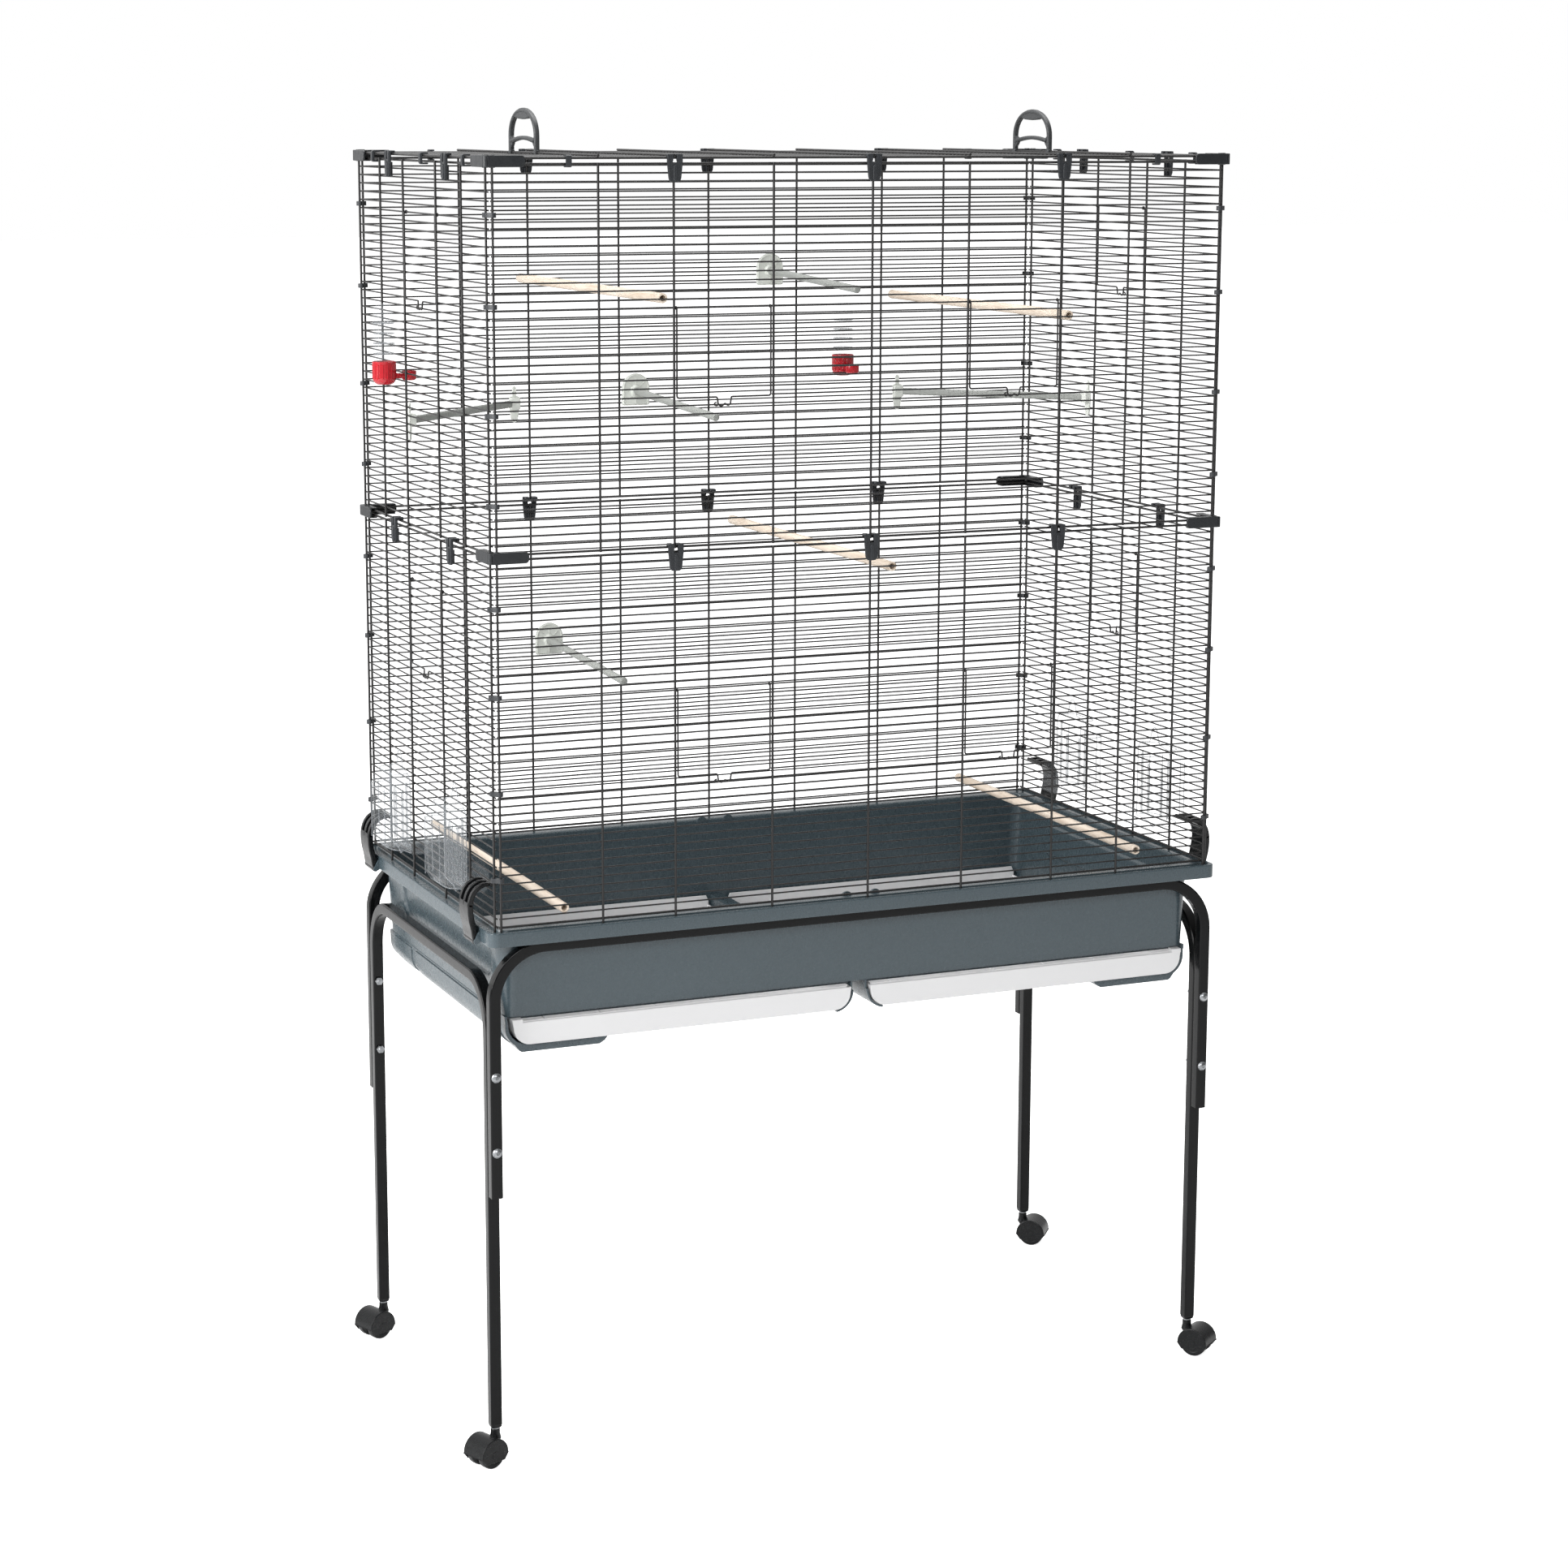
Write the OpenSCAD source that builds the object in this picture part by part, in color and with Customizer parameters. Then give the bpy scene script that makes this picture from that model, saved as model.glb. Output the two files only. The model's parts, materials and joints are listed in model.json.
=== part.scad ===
// Bird cage on a rolling stand: two wire tiers with a wire roof, a deep tray with
// two pull-out drawers, perches, feeders and water fountains, carried by a tube
// stand on four twin-wheel casters.
// Origin: on the floor, under the middle of the cage. +Z up, -Y is the front.

/* [Cage] */
// Width of the cage across its side panels
cage_w = 1000; // [980:1:1020]
// Depth of the cage across its front and back panels
cage_d = 544; // [536:1:552]
// Distance between neighbouring fine wires
row_pitch = 10.8; // [10.6:0.1:11]
// Number of wire spaces in the lower tier
lower_rows = 42; // [41:1:43]
// Number of wire spaces in the upper tier
upper_rows = 43; // [42:1:44]
// Diameter of the uprights and border wires
wire_d = 3; // [2.6:0.1:3.2]
// Diameter of the fine wires
fine_d = 2; // [1.6:0.1:2.2]

/* [Tray] */
// Height of the tray's rim above the floor
rim_z = 696; // [680:1:720]
// Overhang of the rim outside the side panels
rim_side = 10.5; // [10:0.5:11]
// Overhang of the rim outside the front and back panels
rim_front = 8; // [7.5:0.5:9]
// Height of the rim's skirt
skirt_h = 18; // [16:1:20]
// Depth of the tray's tub below the rim
tub_h = 117; // [112:1:120]
// How far each drawer pulls out
drawer_travel = 400; // [100:10:420]

/* [Stand] */
// Outer size of the square stand tube
tube = 15; // [14:0.5:16]
// Wall thickness of the stand tube
tube_wall = 1.2; // [1:0.1:1.5]
// Distance from the rim down to the top of the front and back bars
front_bar_drop = 16; // [15:1:18]
// Distance from the rim down to the top of the side bars
side_bar_drop = 65; // [60:1:70]
// Height of the long legs' lower ends above the floor
leg_end_z = 52; // [50:1:54]

/* [Casters] */
// Radius of a caster wheel
wheel_r = 18.5; // [18:0.5:19]
// Distance from a caster's stem to its axle
caster_trail = 15.5; // [15:0.5:16]

/* [Hidden] */
$fn = 32;

// Gap between pieces that lie against each other without being one piece
touch = 0.05;
wr = wire_d / 2;
fr = fine_d / 2;
// Distance of the fine wires and of the border wires inside the uprights' plane
fine_in = wr + fr + touch;
border_in = wire_d + touch;
// Setback of each panel's edge upright from the next panel's plane
edge_set = 6.3;

// Heights of the wire rows
lower_z0 = rim_z + 4.9;
lower_z1 = lower_z0 + lower_rows * row_pitch;
upper_z0 = lower_z1 + 6;
upper_z1 = upper_z0 + upper_rows * row_pitch;
roof_z = upper_z1 + 7;
cross_z = roof_z + border_in;

// Uprights of the front and back panels, and of the side panels, from the middle out
front_edge = cage_w / 2 - edge_set;
side_edge = cage_d / 2 - edge_set;
door_in = 133;
door_out = 264.2;
front_outer = 360.9;
front_posts = [-front_outer, -door_out, -door_in, 0, door_in, door_out, front_outer];
side_door = 68.8;
side_outer = 170.4;
side_posts = [-side_outer, -side_door, side_door, side_outer];

// Rows that bound the door openings: bottom row and hinge row
door_rows = 11;
front_lower_row = 15;
front_upper_row = 16;
side_lower_row = 25;
side_upper_row = 26;

// Tray outline
rim_x = cage_w / 2 + rim_side;
rim_y = cage_d / 2 + rim_front;
tub_x = cage_w / 2 - 9.5;
tub_y = cage_d / 2 - 18;
tub_taper_x = 8.5;
tub_taper_y = 6.5;
tub_wall = 3;
rim_t = 5;
bay_h = 35;
bay_x = tub_x - tub_taper_x;
bay_y = tub_y - tub_taper_y;
divider_x = 11;
drawer_x0 = 13.5;
drawer_x1 = bay_x - 8;
drawer_z0 = rim_z - 151.5;
drawer_z1 = rim_z - 121;
drawer_front = -tub_y;
drawer_back = tub_y - 14;
drawer_wall = 2.5;
drawer_back_rise = 13;

// Stand tube positions
leg_x = cage_w / 2 + 2;
leg_y = cage_d / 2 - 24.5;
short_leg_y = leg_y + tube + 0.3;
short_leg_end = rim_z - 341;
front_bend_r = 75;
side_bend_r = 70;
bolt_drops = [185, 281.7];

// Latches
latch_y = 218;
latch_pivot_out = 15.2;
latch_pivot_drop = 17.5;
latch_w = 38;
latch_rib_in = 3.4;
latch_rib_out = 13.2;

// Casters: direction of each axle from its stem, in degrees from +X
caster_turn = [-158, -53, -158, -39];
axle_r = 2.5;
stem_r = 4;

function arc(cx, cy, r, a0, a1, n) =
    [for (i = [0:n]) let (a = a0 + (a1 - a0) * i / n) [cx + r * cos(a), cy + r * sin(a)]];

function rounded_rect(x0, y0, x1, y1, r) = concat(
    arc(x1 - r, y1 - r, r, 0, 90, 6), arc(x0 + r, y1 - r, r, 90, 180, 6),
    arc(x0 + r, y0 + r, r, 180, 270, 6), arc(x1 - r, y0 + r, r, 270, 360, 6));

// Outline of an upside-down U between two legs: half width, top and bottom heights
function arch(half, top, bottom, r) = concat(
    [[-half, bottom]], arc(-half + r, top - r, r, 180, 90, 16),
    arc(half - r, top - r, r, 90, 0, 16), [[half, bottom]]);

// Extrusions of an outline: (Y, Z) points along X, (X, Z) points along Y
module along_x(x0, x1, points)
    translate([x0, 0, 0]) rotate([90, 0, 90]) linear_extrude(x1 - x0) polygon(points);

module along_y(y0, y1, points)
    translate([0, y1, 0]) rotate([90, 0, 0]) linear_extrude(y1 - y0) polygon(points);

module box(x0, x1, y0, y1, z0, z1)
    translate([x0, y0, z0]) cube([x1 - x0, y1 - y0, z1 - z0]);

module rod_x(x0, x1, y, z, d)
    translate([x0, y, z]) rotate([0, 90, 0]) cylinder(h = x1 - x0, d = d);

module rod_y(y0, y1, x, z, d)
    translate([x, y0, z]) rotate([-90, 0, 0]) cylinder(h = y1 - y0, d = d);

module rod_z(z0, z1, x, y, d)
    translate([x, y, z0]) cylinder(h = z1 - z0, d = d);

// Places a side's contents, which are drawn with their outer face towards -Y
module on_front() translate([0, -cage_d / 2, 0]) children();
module on_back() translate([0, cage_d / 2, 0]) rotate([0, 0, 180]) children();
module on_left() translate([-cage_w / 2, 0, 0]) rotate([0, 0, -90]) children();
module on_right() translate([cage_w / 2, 0, 0]) rotate([0, 0, 90]) children();

// ---- wire panels ----

// Fine wire from one end to the other, broken where a door opening lies
module wire_row(half, z, gaps) {
    starts = concat([-half], [for (g = gaps) g[1] - fr]);
    ends = concat([for (g = gaps) g[0] + fr], [half]);
    for (i = [0:len(starts) - 1]) rod_x(starts[i], ends[i], fine_in, z, fine_d);
}

// One flat panel: uprights, two border wires, and fine wires with door openings
module panel(edge, posts, z0, rows, foot, gaps, gap_row) {
    half = edge + wr;
    top = z0 + rows * row_pitch;
    color("#2b2b2b") {
        for (x = concat([-edge], posts, [edge])) rod_z(z0 - foot, top + wr, x, 0, wire_d);
        for (z = [z0, top]) rod_x(-half, half, border_in, z, wire_d);
        for (k = [1:rows - 1])
            wire_row(half, z0 + k * row_pitch, k > gap_row && k < gap_row + door_rows ? gaps : []);
    }
}

front_gaps = [[-door_out, -door_in], [door_in, door_out]];
side_gaps = [[-side_door, side_door]];
lower_foot = 6.4;

module front_panel_lower()
    on_front() panel(front_edge, front_posts, lower_z0, lower_rows, lower_foot, front_gaps,
        front_lower_row);
module front_panel_upper()
    on_front() panel(front_edge, front_posts, upper_z0, upper_rows, wr, front_gaps,
        front_upper_row);
module back_panel_lower()
    on_back() panel(front_edge, front_posts, lower_z0, lower_rows, lower_foot, [], 0);
module back_panel_upper()
    on_back() panel(front_edge, front_posts, upper_z0, upper_rows, wr, [], 0);
module side_panel_lower()
    panel(side_edge, side_posts, lower_z0, lower_rows, lower_foot, side_gaps, side_lower_row);
module side_panel_upper()
    panel(side_edge, side_posts, upper_z0, upper_rows, wr, side_gaps, side_upper_row);

// Roof: border wires, cross wires over them, and fine wires under the cross wires
module roof_panel() {
    half_x = cage_w / 2;
    half_y = cage_d / 2;
    last_row = floor((half_y - 8) / row_pitch);
    color("#2b2b2b") {
        for (y = [-half_y, half_y]) rod_x(-half_x - wr, half_x + wr, y, roof_z, wire_d);
        for (x = [-half_x, half_x])
            rod_y(-half_y + wr + touch, half_y - wr - touch, x, roof_z, wire_d);
        for (x = front_posts) rod_y(-half_y - wr, half_y + wr, x, cross_z, wire_d);
        for (k = [-last_row:last_row])
            rod_x(-half_x + wr + touch, half_x - wr - touch, k * row_pitch, cross_z - fine_in,
                fine_d);
    }
}

// ---- doors ----

// A door hangs from eyes round the panel's hinge row and ends in a formed catch
door_wire = 2.4;
door_gap = 3.6;
eye_r = 2.4;
eye_half = 1.5;
catch_wire = 2.3;
catch_half = 6;
catch_drop = 11;
catch_lift = 9.5;

module door(x0, x1, z_row) {
    a = x0 + door_gap;
    b = x1 - door_gap;
    mid = (a + b) / 2;
    hinge_z = z_row + door_rows * row_pitch;
    z_bar = z_row + catch_lift;
    z_low = z_bar - catch_drop;
    weld_in = door_wire / 2 + fr - 0.4;
    color("#2b2b2b") difference() {
        union() {
            for (x = [a, b]) {
                rod_z(z_bar - door_wire / 2, hinge_z, x, 0, door_wire);
                rod_x(x - eye_half, x + eye_half, fine_in, hinge_z, 2 * eye_r);
            }
            rod_x(a, mid - catch_half, 0, z_bar, fine_d);
            rod_x(mid + catch_half, b, 0, z_bar, fine_d);
            for (x = [mid - catch_half, mid + catch_half])
                rod_z(z_low, z_bar + catch_wire / 2, x, 0, catch_wire);
            rod_x(mid - 11, mid + catch_half + fr, -0.4, z_low + 0.4, fine_d);
            for (k = [2:door_rows - 1])
                rod_x(a - 1.6, b + 1.6, weld_in, z_row + k * row_pitch, fine_d);
        }
        rod_x(a - 4, b + 4, fine_in, hinge_z, fine_d + 0.14);
    }
}

front_lower_z = lower_z0 + front_lower_row * row_pitch;
front_upper_z = upper_z0 + front_upper_row * row_pitch;
side_lower_z = lower_z0 + side_lower_row * row_pitch;
side_upper_z = upper_z0 + side_upper_row * row_pitch;

// ---- clips and connectors ----

// Snap clip round the two edge uprights of a corner, open towards the cage
clip_h = 5.5;
clip_r = 4.2;
module corner_clip(z) {
    span = edge_set * sqrt(2);
    translate([cage_w / 2 - edge_set / 2, -cage_d / 2 + edge_set / 2, z - clip_h / 2])
        rotate([0, 0, 45]) linear_extrude(clip_h) difference() {
            union() {
                for (s = [-1, 1]) translate([s * span / 2, 0]) circle(clip_r);
                translate([-span / 2, -clip_r + 1]) square([span, 2 * clip_r - 2]);
            }
            for (s = [-1, 1]) translate([s * span / 2, 0]) {
                circle(wr + 0.1);
                translate([-wr + 0.2, 0]) square([wire_d - 0.4, 2 * clip_r]);
            }
        }
}

// Mirrors the front right corner's contents to all four corners
module all_corners() for (sx = [0, 1], sy = [0, 1]) mirror([sx, 0, 0]) mirror([0, sy, 0]) children();

function mid_row(z, z0) = z0 + (floor((z - z0) / row_pitch) + 0.5) * row_pitch;

module corner_clips() {
    lower_mid = (lower_z0 + lower_z1) / 2;
    upper_mid = (upper_z0 + upper_z1) / 2;
    color("#33363a") all_corners() for (d = [-168, -62, 62, 168]) {
        corner_clip(mid_row(lower_mid + d, lower_z0));
        corner_clip(mid_row(upper_mid + d, upper_z0));
    }
}

// Clip that hooks over one wire and grips the upright below it; wire_y is how far
// the hooked wire lies inside the uprights' plane
clip_top = 4.6;
clip_bottom = 29;
clip_plate = 4.4;
clip_cheek = 1.45;
module panel_clip(x, z, wire_y) {
    plate = [[-10, z + clip_top], [10, z + clip_top], [10, z - 8], [7.6, z - clip_bottom + 3],
        [4.6, z - clip_bottom], [-4.6, z - clip_bottom], [-7.6, z - clip_bottom + 3], [-10, z - 8]];
    outer = -wr - 0.1 - clip_plate;
    lip = wire_y + wr + 0.15;
    translate([x, 0, 0]) difference() {
        union() {
            along_y(outer, -wr - 0.1, plate);
            along_y(outer + 1, clip_cheek, [for (p = plate) [p[0], min(p[1], z - 1.8)]]);
            for (s = [0, 1]) mirror([s, 0, 0]) {
                box(2.4, 8.6, outer + 1, lip + 1.6, z + wr + 0.1, z + clip_top);
                box(2.4, 8.6, lip, lip + 1.6, z - 1, z + clip_top);
            }
        }
        box(-wr - 0.2, wr + 0.2, -wr - 0.1, 20, z - 40, z + 20);
        box(-2.2, 2.2, outer - 1, 20, z - 4, z + 20);
    }
}

side_clip_y = 11 * row_pitch;
module mid_panel_clips() color("#2f3338") {
    on_front() for (x = [-door_out, 0, door_out]) panel_clip(x, upper_z0, border_in);
    on_back() for (x = [-door_out, 0, door_out]) panel_clip(x, upper_z0, border_in);
    on_left() for (x = [-side_clip_y, side_clip_y]) panel_clip(x, upper_z0, border_in);
    on_right() for (x = [-side_clip_y, side_clip_y]) panel_clip(x, upper_z0, border_in);
}
module top_panel_clips() color("#2f3338") {
    on_front() for (x = [-door_out, 0, door_out]) panel_clip(x, roof_z, 0);
    on_back() for (x = [-door_out, 0, door_out]) panel_clip(x, roof_z, 0);
    on_left() for (x = [-side_clip_y, side_clip_y]) panel_clip(x, roof_z, 0);
    on_right() for (x = [-side_clip_y, side_clip_y]) panel_clip(x, roof_z, 0);
}

// L-shaped cover over the ends of four border wires at a corner
arm_l = 46;
cover_out = 5.6;
cover_in = 5.9;
cover_h = 14;
slot_h = 10.4;
module corner_connector(z) {
    x1 = cage_w / 2 + cover_out;
    y0 = -cage_d / 2 - cover_out;
    xi = cage_w / 2 - cover_in;
    yi = -cage_d / 2 + cover_in;
    xa = cage_w / 2 - arm_l;
    ya = -cage_d / 2 + arm_l;
    c = 3;
    outline = concat([[xa, y0 + c], [xa + c, y0]], arc(x1 - c, y0 + c, c, 270, 360, 4),
        [[x1, ya - c], [x1 - c, ya], [xi, ya], [xi, yi], [xa, yi]]);
    difference() {
        translate([0, 0, z - cover_h / 2]) linear_extrude(cover_h) polygon(outline);
        box(xa - 1, x1 - 3.6, y0 + 3.6, yi + 1, z - slot_h / 2, z + slot_h / 2);
        box(xi - 1, x1 - 3.6, y0 + 3.6, ya + 1, z - slot_h / 2, z + slot_h / 2);
        rod_z(z - 20, z + 20, front_edge, -cage_d / 2, wire_d + 0.3);
        rod_z(z - 20, z + 20, cage_w / 2, -side_edge, wire_d + 0.3);
    }
}
module mid_corner_connectors()
    color("#3a4147") all_corners() corner_connector((lower_z1 + upper_z0) / 2);
module top_corner_connectors()
    color("#3a4147") all_corners() corner_connector((upper_z1 + roof_z) / 2);

// Small clip over the roof's border wire and the wire below it
module ring_clip(x) {
    z = (upper_z1 + roof_z) / 2;
    difference() {
        along_x(x - 3.5, x + 3.5, rounded_rect(-5.2, z - 7.4, 5.8, z + 7.4, 3));
        box(x - 5, x + 5, -wr - 0.2, 7, z - 5.2, z + 5.2);
    }
}
ring_clip_out = 399;
module edge_ring_clips() color("#33363a") {
    on_front() for (x = [-ring_clip_out, ring_clip_out]) ring_clip(x);
    on_back() for (x = [-ring_clip_out, ring_clip_out]) ring_clip(x);
    on_left() for (x = [-190, 20, 190]) ring_clip(x);
    on_right() for (x = [-190, -20, 190]) ring_clip(x);
}

// ---- roof handles ----

// Folds about a cross wire of the roof; the two eyes sit between the fine wires
handle_leg = 4.5 * row_pitch;
handle_half = handle_leg + 4;
handle_h = 56;
handle_t = 4.8;
handle_eye = 7;
handle_spring = 22;

// Closed outline from its right half, mirrored about the middle
function both(half) = concat(half,
    [for (i = [len(half) - 1:-1:0]) if (half[i][0] > 0) [-half[i][0], half[i][1]]]);

module handle(x) {
    outer = both(concat([[handle_half, 0], [handle_half, 12]], [for (a = [0:9:90])
        [handle_half * pow(cos(a), 0.9), handle_spring + (handle_h - handle_spring) * sin(a)]]));
    finger = both([[0, 22], [20, 21.4], [36, 19.6], [41.5, 19.4], [44, 22], [44.4, 26], [43, 33],
        [39.4, 39], [34, 43.6], [31.6, 44.6], [28, 44], [18, 42.2], [0, 41.4]]);
    below = both([[0, 16], [18, 15], [32, 12.4], [41, 9], [45.6, 5.4], [47, 1], [47, -5]]);
    color("#3d4245") translate([x, 0, cross_z]) difference() {
        union() {
            along_x(-handle_t / 2, handle_t / 2, outer);
            for (s = [-1, 1]) rod_y(s * handle_leg - 4, s * handle_leg + 4, 0, 0, handle_eye);
        }
        along_x(-10, 10, finger);
        along_x(-10, 10, below);
        rod_y(-60, 60, 0, 0, wire_d + 0.12);
    }
}

// ---- tray ----

// Four-sided tapering block between two heights
module taper(x0, y0, z0, x1, y1, z1)
    translate([0, 0, z0]) linear_extrude(z1 - z0, scale = [x1 / x0, y1 / y0], slices = 1)
        polygon(rounded_rect(-x0, -y0, x0, y0, 14));

module rim_rect(inset, r) polygon(rounded_rect(-rim_x + inset, -rim_y + inset,
    rim_x - inset, rim_y - inset, r));

tub_z = rim_z - tub_h;
bay_z = tub_z - bay_h;
foot_z = rim_z - 163;

module tub_shell() difference() {
    taper(bay_x, bay_y, tub_z, tub_x, tub_y, rim_z - 1);
    taper(bay_x - tub_wall, bay_y - tub_wall, tub_z - 0.01, tub_x - tub_wall, tub_y - tub_wall,
        rim_z + 0.01);
}

// Rim plate with its skirt, and a groove that holds the panels' lower ends
module rim() difference() {
    translate([0, 0, rim_z - skirt_h]) linear_extrude(skirt_h) rim_rect(0, 12);
    translate([0, 0, rim_z - skirt_h - 1]) linear_extrude(skirt_h + 1 - rim_t) rim_rect(3, 9);
    translate([0, 0, rim_z - rim_t - 1]) linear_extrude(rim_t + 2)
        polygon(rounded_rect(-tub_x + 4, -tub_y + 4, tub_x - 4, tub_y - 4, 12));
    translate([0, 0, rim_z - 2.5]) linear_extrude(5) difference() {
        square([cage_w + 10, cage_d + 7], center = true);
        square([cage_w - 9, cage_d - 11], center = true);
    }
}

// Side walls with rounded lower corners, back wall and ledges that guide the two drawers
corner_x = bay_x - 28.5;
corner_z = bay_z + 22.5;

module drawer_bay() {
    for (s = [0, 1]) mirror([s, 0, 0]) {
        along_y(-bay_y + 1, bay_y - 1, concat([[bay_x, tub_z + 1]],
            arc(corner_x, corner_z, 28.5, 0, -90, 8),
            [[bay_x - 36, bay_z - 6], [bay_x - 42, bay_z - 3], [bay_x - 42, bay_z]],
            arc(corner_x, bay_z + 24, 24, -90, 0, 8), [[bay_x - 2.6, tub_z + 1]]));
        for (t = [0, 1]) mirror([0, t, 0]) along_y(-bay_y + 2, -bay_y + 52,
            [[345, bay_z], [357, foot_z], [bay_x - 20, foot_z], [bay_x - 9, bay_z + 4],
             [bay_x - 16, bay_z + 2], [bay_x - 30, bay_z - 2]]);
        box(340, bay_x - 30, -bay_y + 12, -bay_y + 52, bay_z - 3, bay_z);
        box(340, bay_x - 30, bay_y - 52, bay_y - 12, bay_z - 3, bay_z);
        along_y(-bay_y + 1, bay_y - 1, concat([[divider_x - 2.5, tub_z + 8], [divider_x, tub_z + 8]],
            arc(drawer_x0 + 23, bay_z + 24, 24.6, 180, 262, 8),
            arc(drawer_x0 + 23, bay_z + 24, 27.2, 262, 180, 8)));
        along_y(-bay_y - 4, -bay_y + 3, concat(
            arc(drawer_x0 + 23, bay_z + 24, 24.6, 180, 262, 8),
            arc(drawer_x0 + 23, bay_z + 24, 27.2, 262, 180, 8)));
    }
    box(-divider_x, divider_x, -bay_y + 1, bay_y - 1, tub_z + 5, tub_z + 8);
    for (y = [-180, -60, 60, 180])
        box(-divider_x + 1.4, divider_x - 1.4, y - 1, y + 1, tub_z - 12, tub_z + 6);
    along_y(bay_y - 2.6, bay_y, concat([[-bay_x, tub_z + 1]],
        arc(-corner_x, corner_z, 28.5, 180, 270, 8), arc(corner_x, corner_z, 28.5, 270, 360, 8),
        [[bay_x, tub_z + 1]]));
}

// Hinge lugs with their pin for one latch, drawn for the right side
module latch_lugs(y) {
    x = cage_w / 2 + latch_pivot_out;
    z = rim_z - latch_pivot_drop;
    for (s = [-1, 1]) box(rim_x - 1.5, x + 3.6, y + s * (latch_w / 2 + 1.8) - 1.4,
        y + s * (latch_w / 2 + 1.8) + 1.4, z - 4, z + 12);
    rod_y(y - latch_w / 2 - 1, y + latch_w / 2 + 1, x, z, 3.6);
}

module base_tray() color("#4b585f") {
    tub_shell();
    rim();
    drawer_bay();
    for (s = [0, 1]) mirror([s, 0, 0]) for (y = [-latch_y, latch_y]) latch_lugs(y);
    for (x = [-tub_x / 3, tub_x / 3], s = [-1, 1])
        box(x - 3, x + 3, s * tub_y + (s < 0 ? -20 : -1), s * tub_y + (s < 0 ? 1 : 20),
            rim_z - front_bar_drop + touch, rim_z - rim_t + 1);
    for (s = [0, 1], x = [-20, 20]) mirror([0, s, 0])
        along_y(-tub_y + 1, -tub_y + 5, [for (p = arc(x, rim_z - 4, 8, 0, 180, 12)) p]);
}

// Shallow drawer with rounded lower corners and a taller front lip
module drawer(side) {
    r = 22;
    x0 = drawer_x0;
    x1 = drawer_x1;
    outline = concat([[x0, drawer_z1], [x0 + 1, drawer_z0 + r]],
        arc(x0 + 1 + r, drawer_z0 + r, r, 180, 270, 8),
        arc(x1 - 1 - r, drawer_z0 + r, r, 270, 360, 8),
        [[x1 - 1, drawer_z0 + r], [x1, drawer_z1]]);
    t = drawer_wall;
    inside = concat([[x0 + t, drawer_z1 + 5], [x0 + t + 1, drawer_z0 + r]],
        arc(x0 + 1 + r, drawer_z0 + r, r - t, 180, 270, 8),
        arc(x1 - 1 - r, drawer_z0 + r, r - t, 270, 360, 8),
        [[x1 - t - 1, drawer_z0 + r], [x1 - t, drawer_z1 + 5]]);
    color("#eeeeee") mirror([side < 0 ? 1 : 0, 0, 0]) {
        difference() {
            along_y(drawer_front, drawer_back, outline);
            along_y(drawer_front + t, drawer_back - t, inside);
        }
        box(x0 + 1, x1 - 1, drawer_back - t, drawer_back, drawer_z1 - 4, drawer_z1 + drawer_back_rise);
    }
}

// ---- latches ----

// Curved lever: outline as (distance outside the side panel, height above the rim)
latch_outer = [[11.6, -12], [19.5, -14], [20.5, -4], [23.5, 8], [25, 20], [24.4, 31], [21.5, 41],
    [16, 49], [9, 54], [2, 55], [-6, 54.6], [-8, 52.4], [-6, 50]];
latch_inner = [[3, 50], [9, 48.6], [14, 44], [17, 37], [18.4, 28], [18, 18], [15.5, 8], [12, 1]];
latch_finger_z = 20;

module latch(y) {
    outline = concat(latch_outer, latch_inner);
    x = cage_w / 2;
    pivot = [latch_pivot_out, -latch_pivot_drop];
    color("#1f2224") translate([x, y, rim_z]) difference() {
        union() {
            difference() {
                along_y(-latch_w / 2, latch_w / 2, outline);
                for (s = [0, 1]) mirror([0, s, 0])
                    box(-20, 40, latch_rib_in, latch_rib_out, latch_finger_z, 80);
            }
            along_y(-latch_w / 2, latch_w / 2, concat(arc(pivot[0], pivot[1], 4.2, 180, 360, 10),
                [[19.6, -10], [11.2, -10]]));
            rod_y(-latch_w / 2 - 2, latch_w / 2 + 2, -5.6, 52.2, 4.8);
        }
        rod_y(-20, 20, pivot[0], pivot[1], 3.72);
    }
}

// ---- perches ----

perch_d = 12.5;
perch_bore = 7.2;
perch_half = cage_d / 2 - fine_in - fr - 0.6;
// Each wooden perch: X, and height above the rim
wood_at = [[-277, 768], [279, 736], [33, 425], [-410, 22], [394, 27]];
module wood_perches() color("#d9c8b0") for (p = wood_at) difference() {
    rod_y(-perch_half, perch_half, p[0], rim_z + p[1], perch_d);
    for (s = [0, 1]) mirror([0, s, 0]) rod_y(-perch_half - 1, -perch_half + 25, p[0],
        rim_z + p[1], perch_bore);
}

// Plastic rod held by a round-topped plate clamped to the back panel; each: X, row, tier's first row
disc_r = 20;
rod_tip_y = -31;
rod_droop = 12;
disc_at = [[90, 28, upper_z0], [-111, 13, upper_z0], [-241, 24, lower_z0]];
module disc_perch(x, z) {
    face = cage_d / 2 - fine_in - fr - 0.3;
    rod_len = face - rod_tip_y;
    tilt = atan(rod_droop / rod_len);
    translate([x, face, z]) {
        rotate([90, 0, 0]) linear_extrude(4) polygon(concat(arc(0, 4, disc_r, 0, 180, 24),
            [[-disc_r, -18], [-disc_r + 2, -20], [disc_r - 2, -20], [disc_r, -18]]));
        rotate([90 + tilt, 0, 0]) translate([0, 0, 2]) cylinder(h = rod_len - 8, r = 4.8);
        rotate([90 + tilt, 0, 0]) translate([0, 0, rod_len - 7]) sphere(r = 5.2);
        rotate([-90, 0, 0]) translate([0, 0, -1]) cylinder(h = 10, r = 3.4);
        rotate([-90, 0, 0]) translate([0, 0, 6.4]) cylinder(h = 3, r = 9);
    }
}
module disc_perches() color("#cdd3c8")
    for (p = disc_at) disc_perch(p[0], p[2] + (p[1] + 0.5) * row_pitch);

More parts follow.
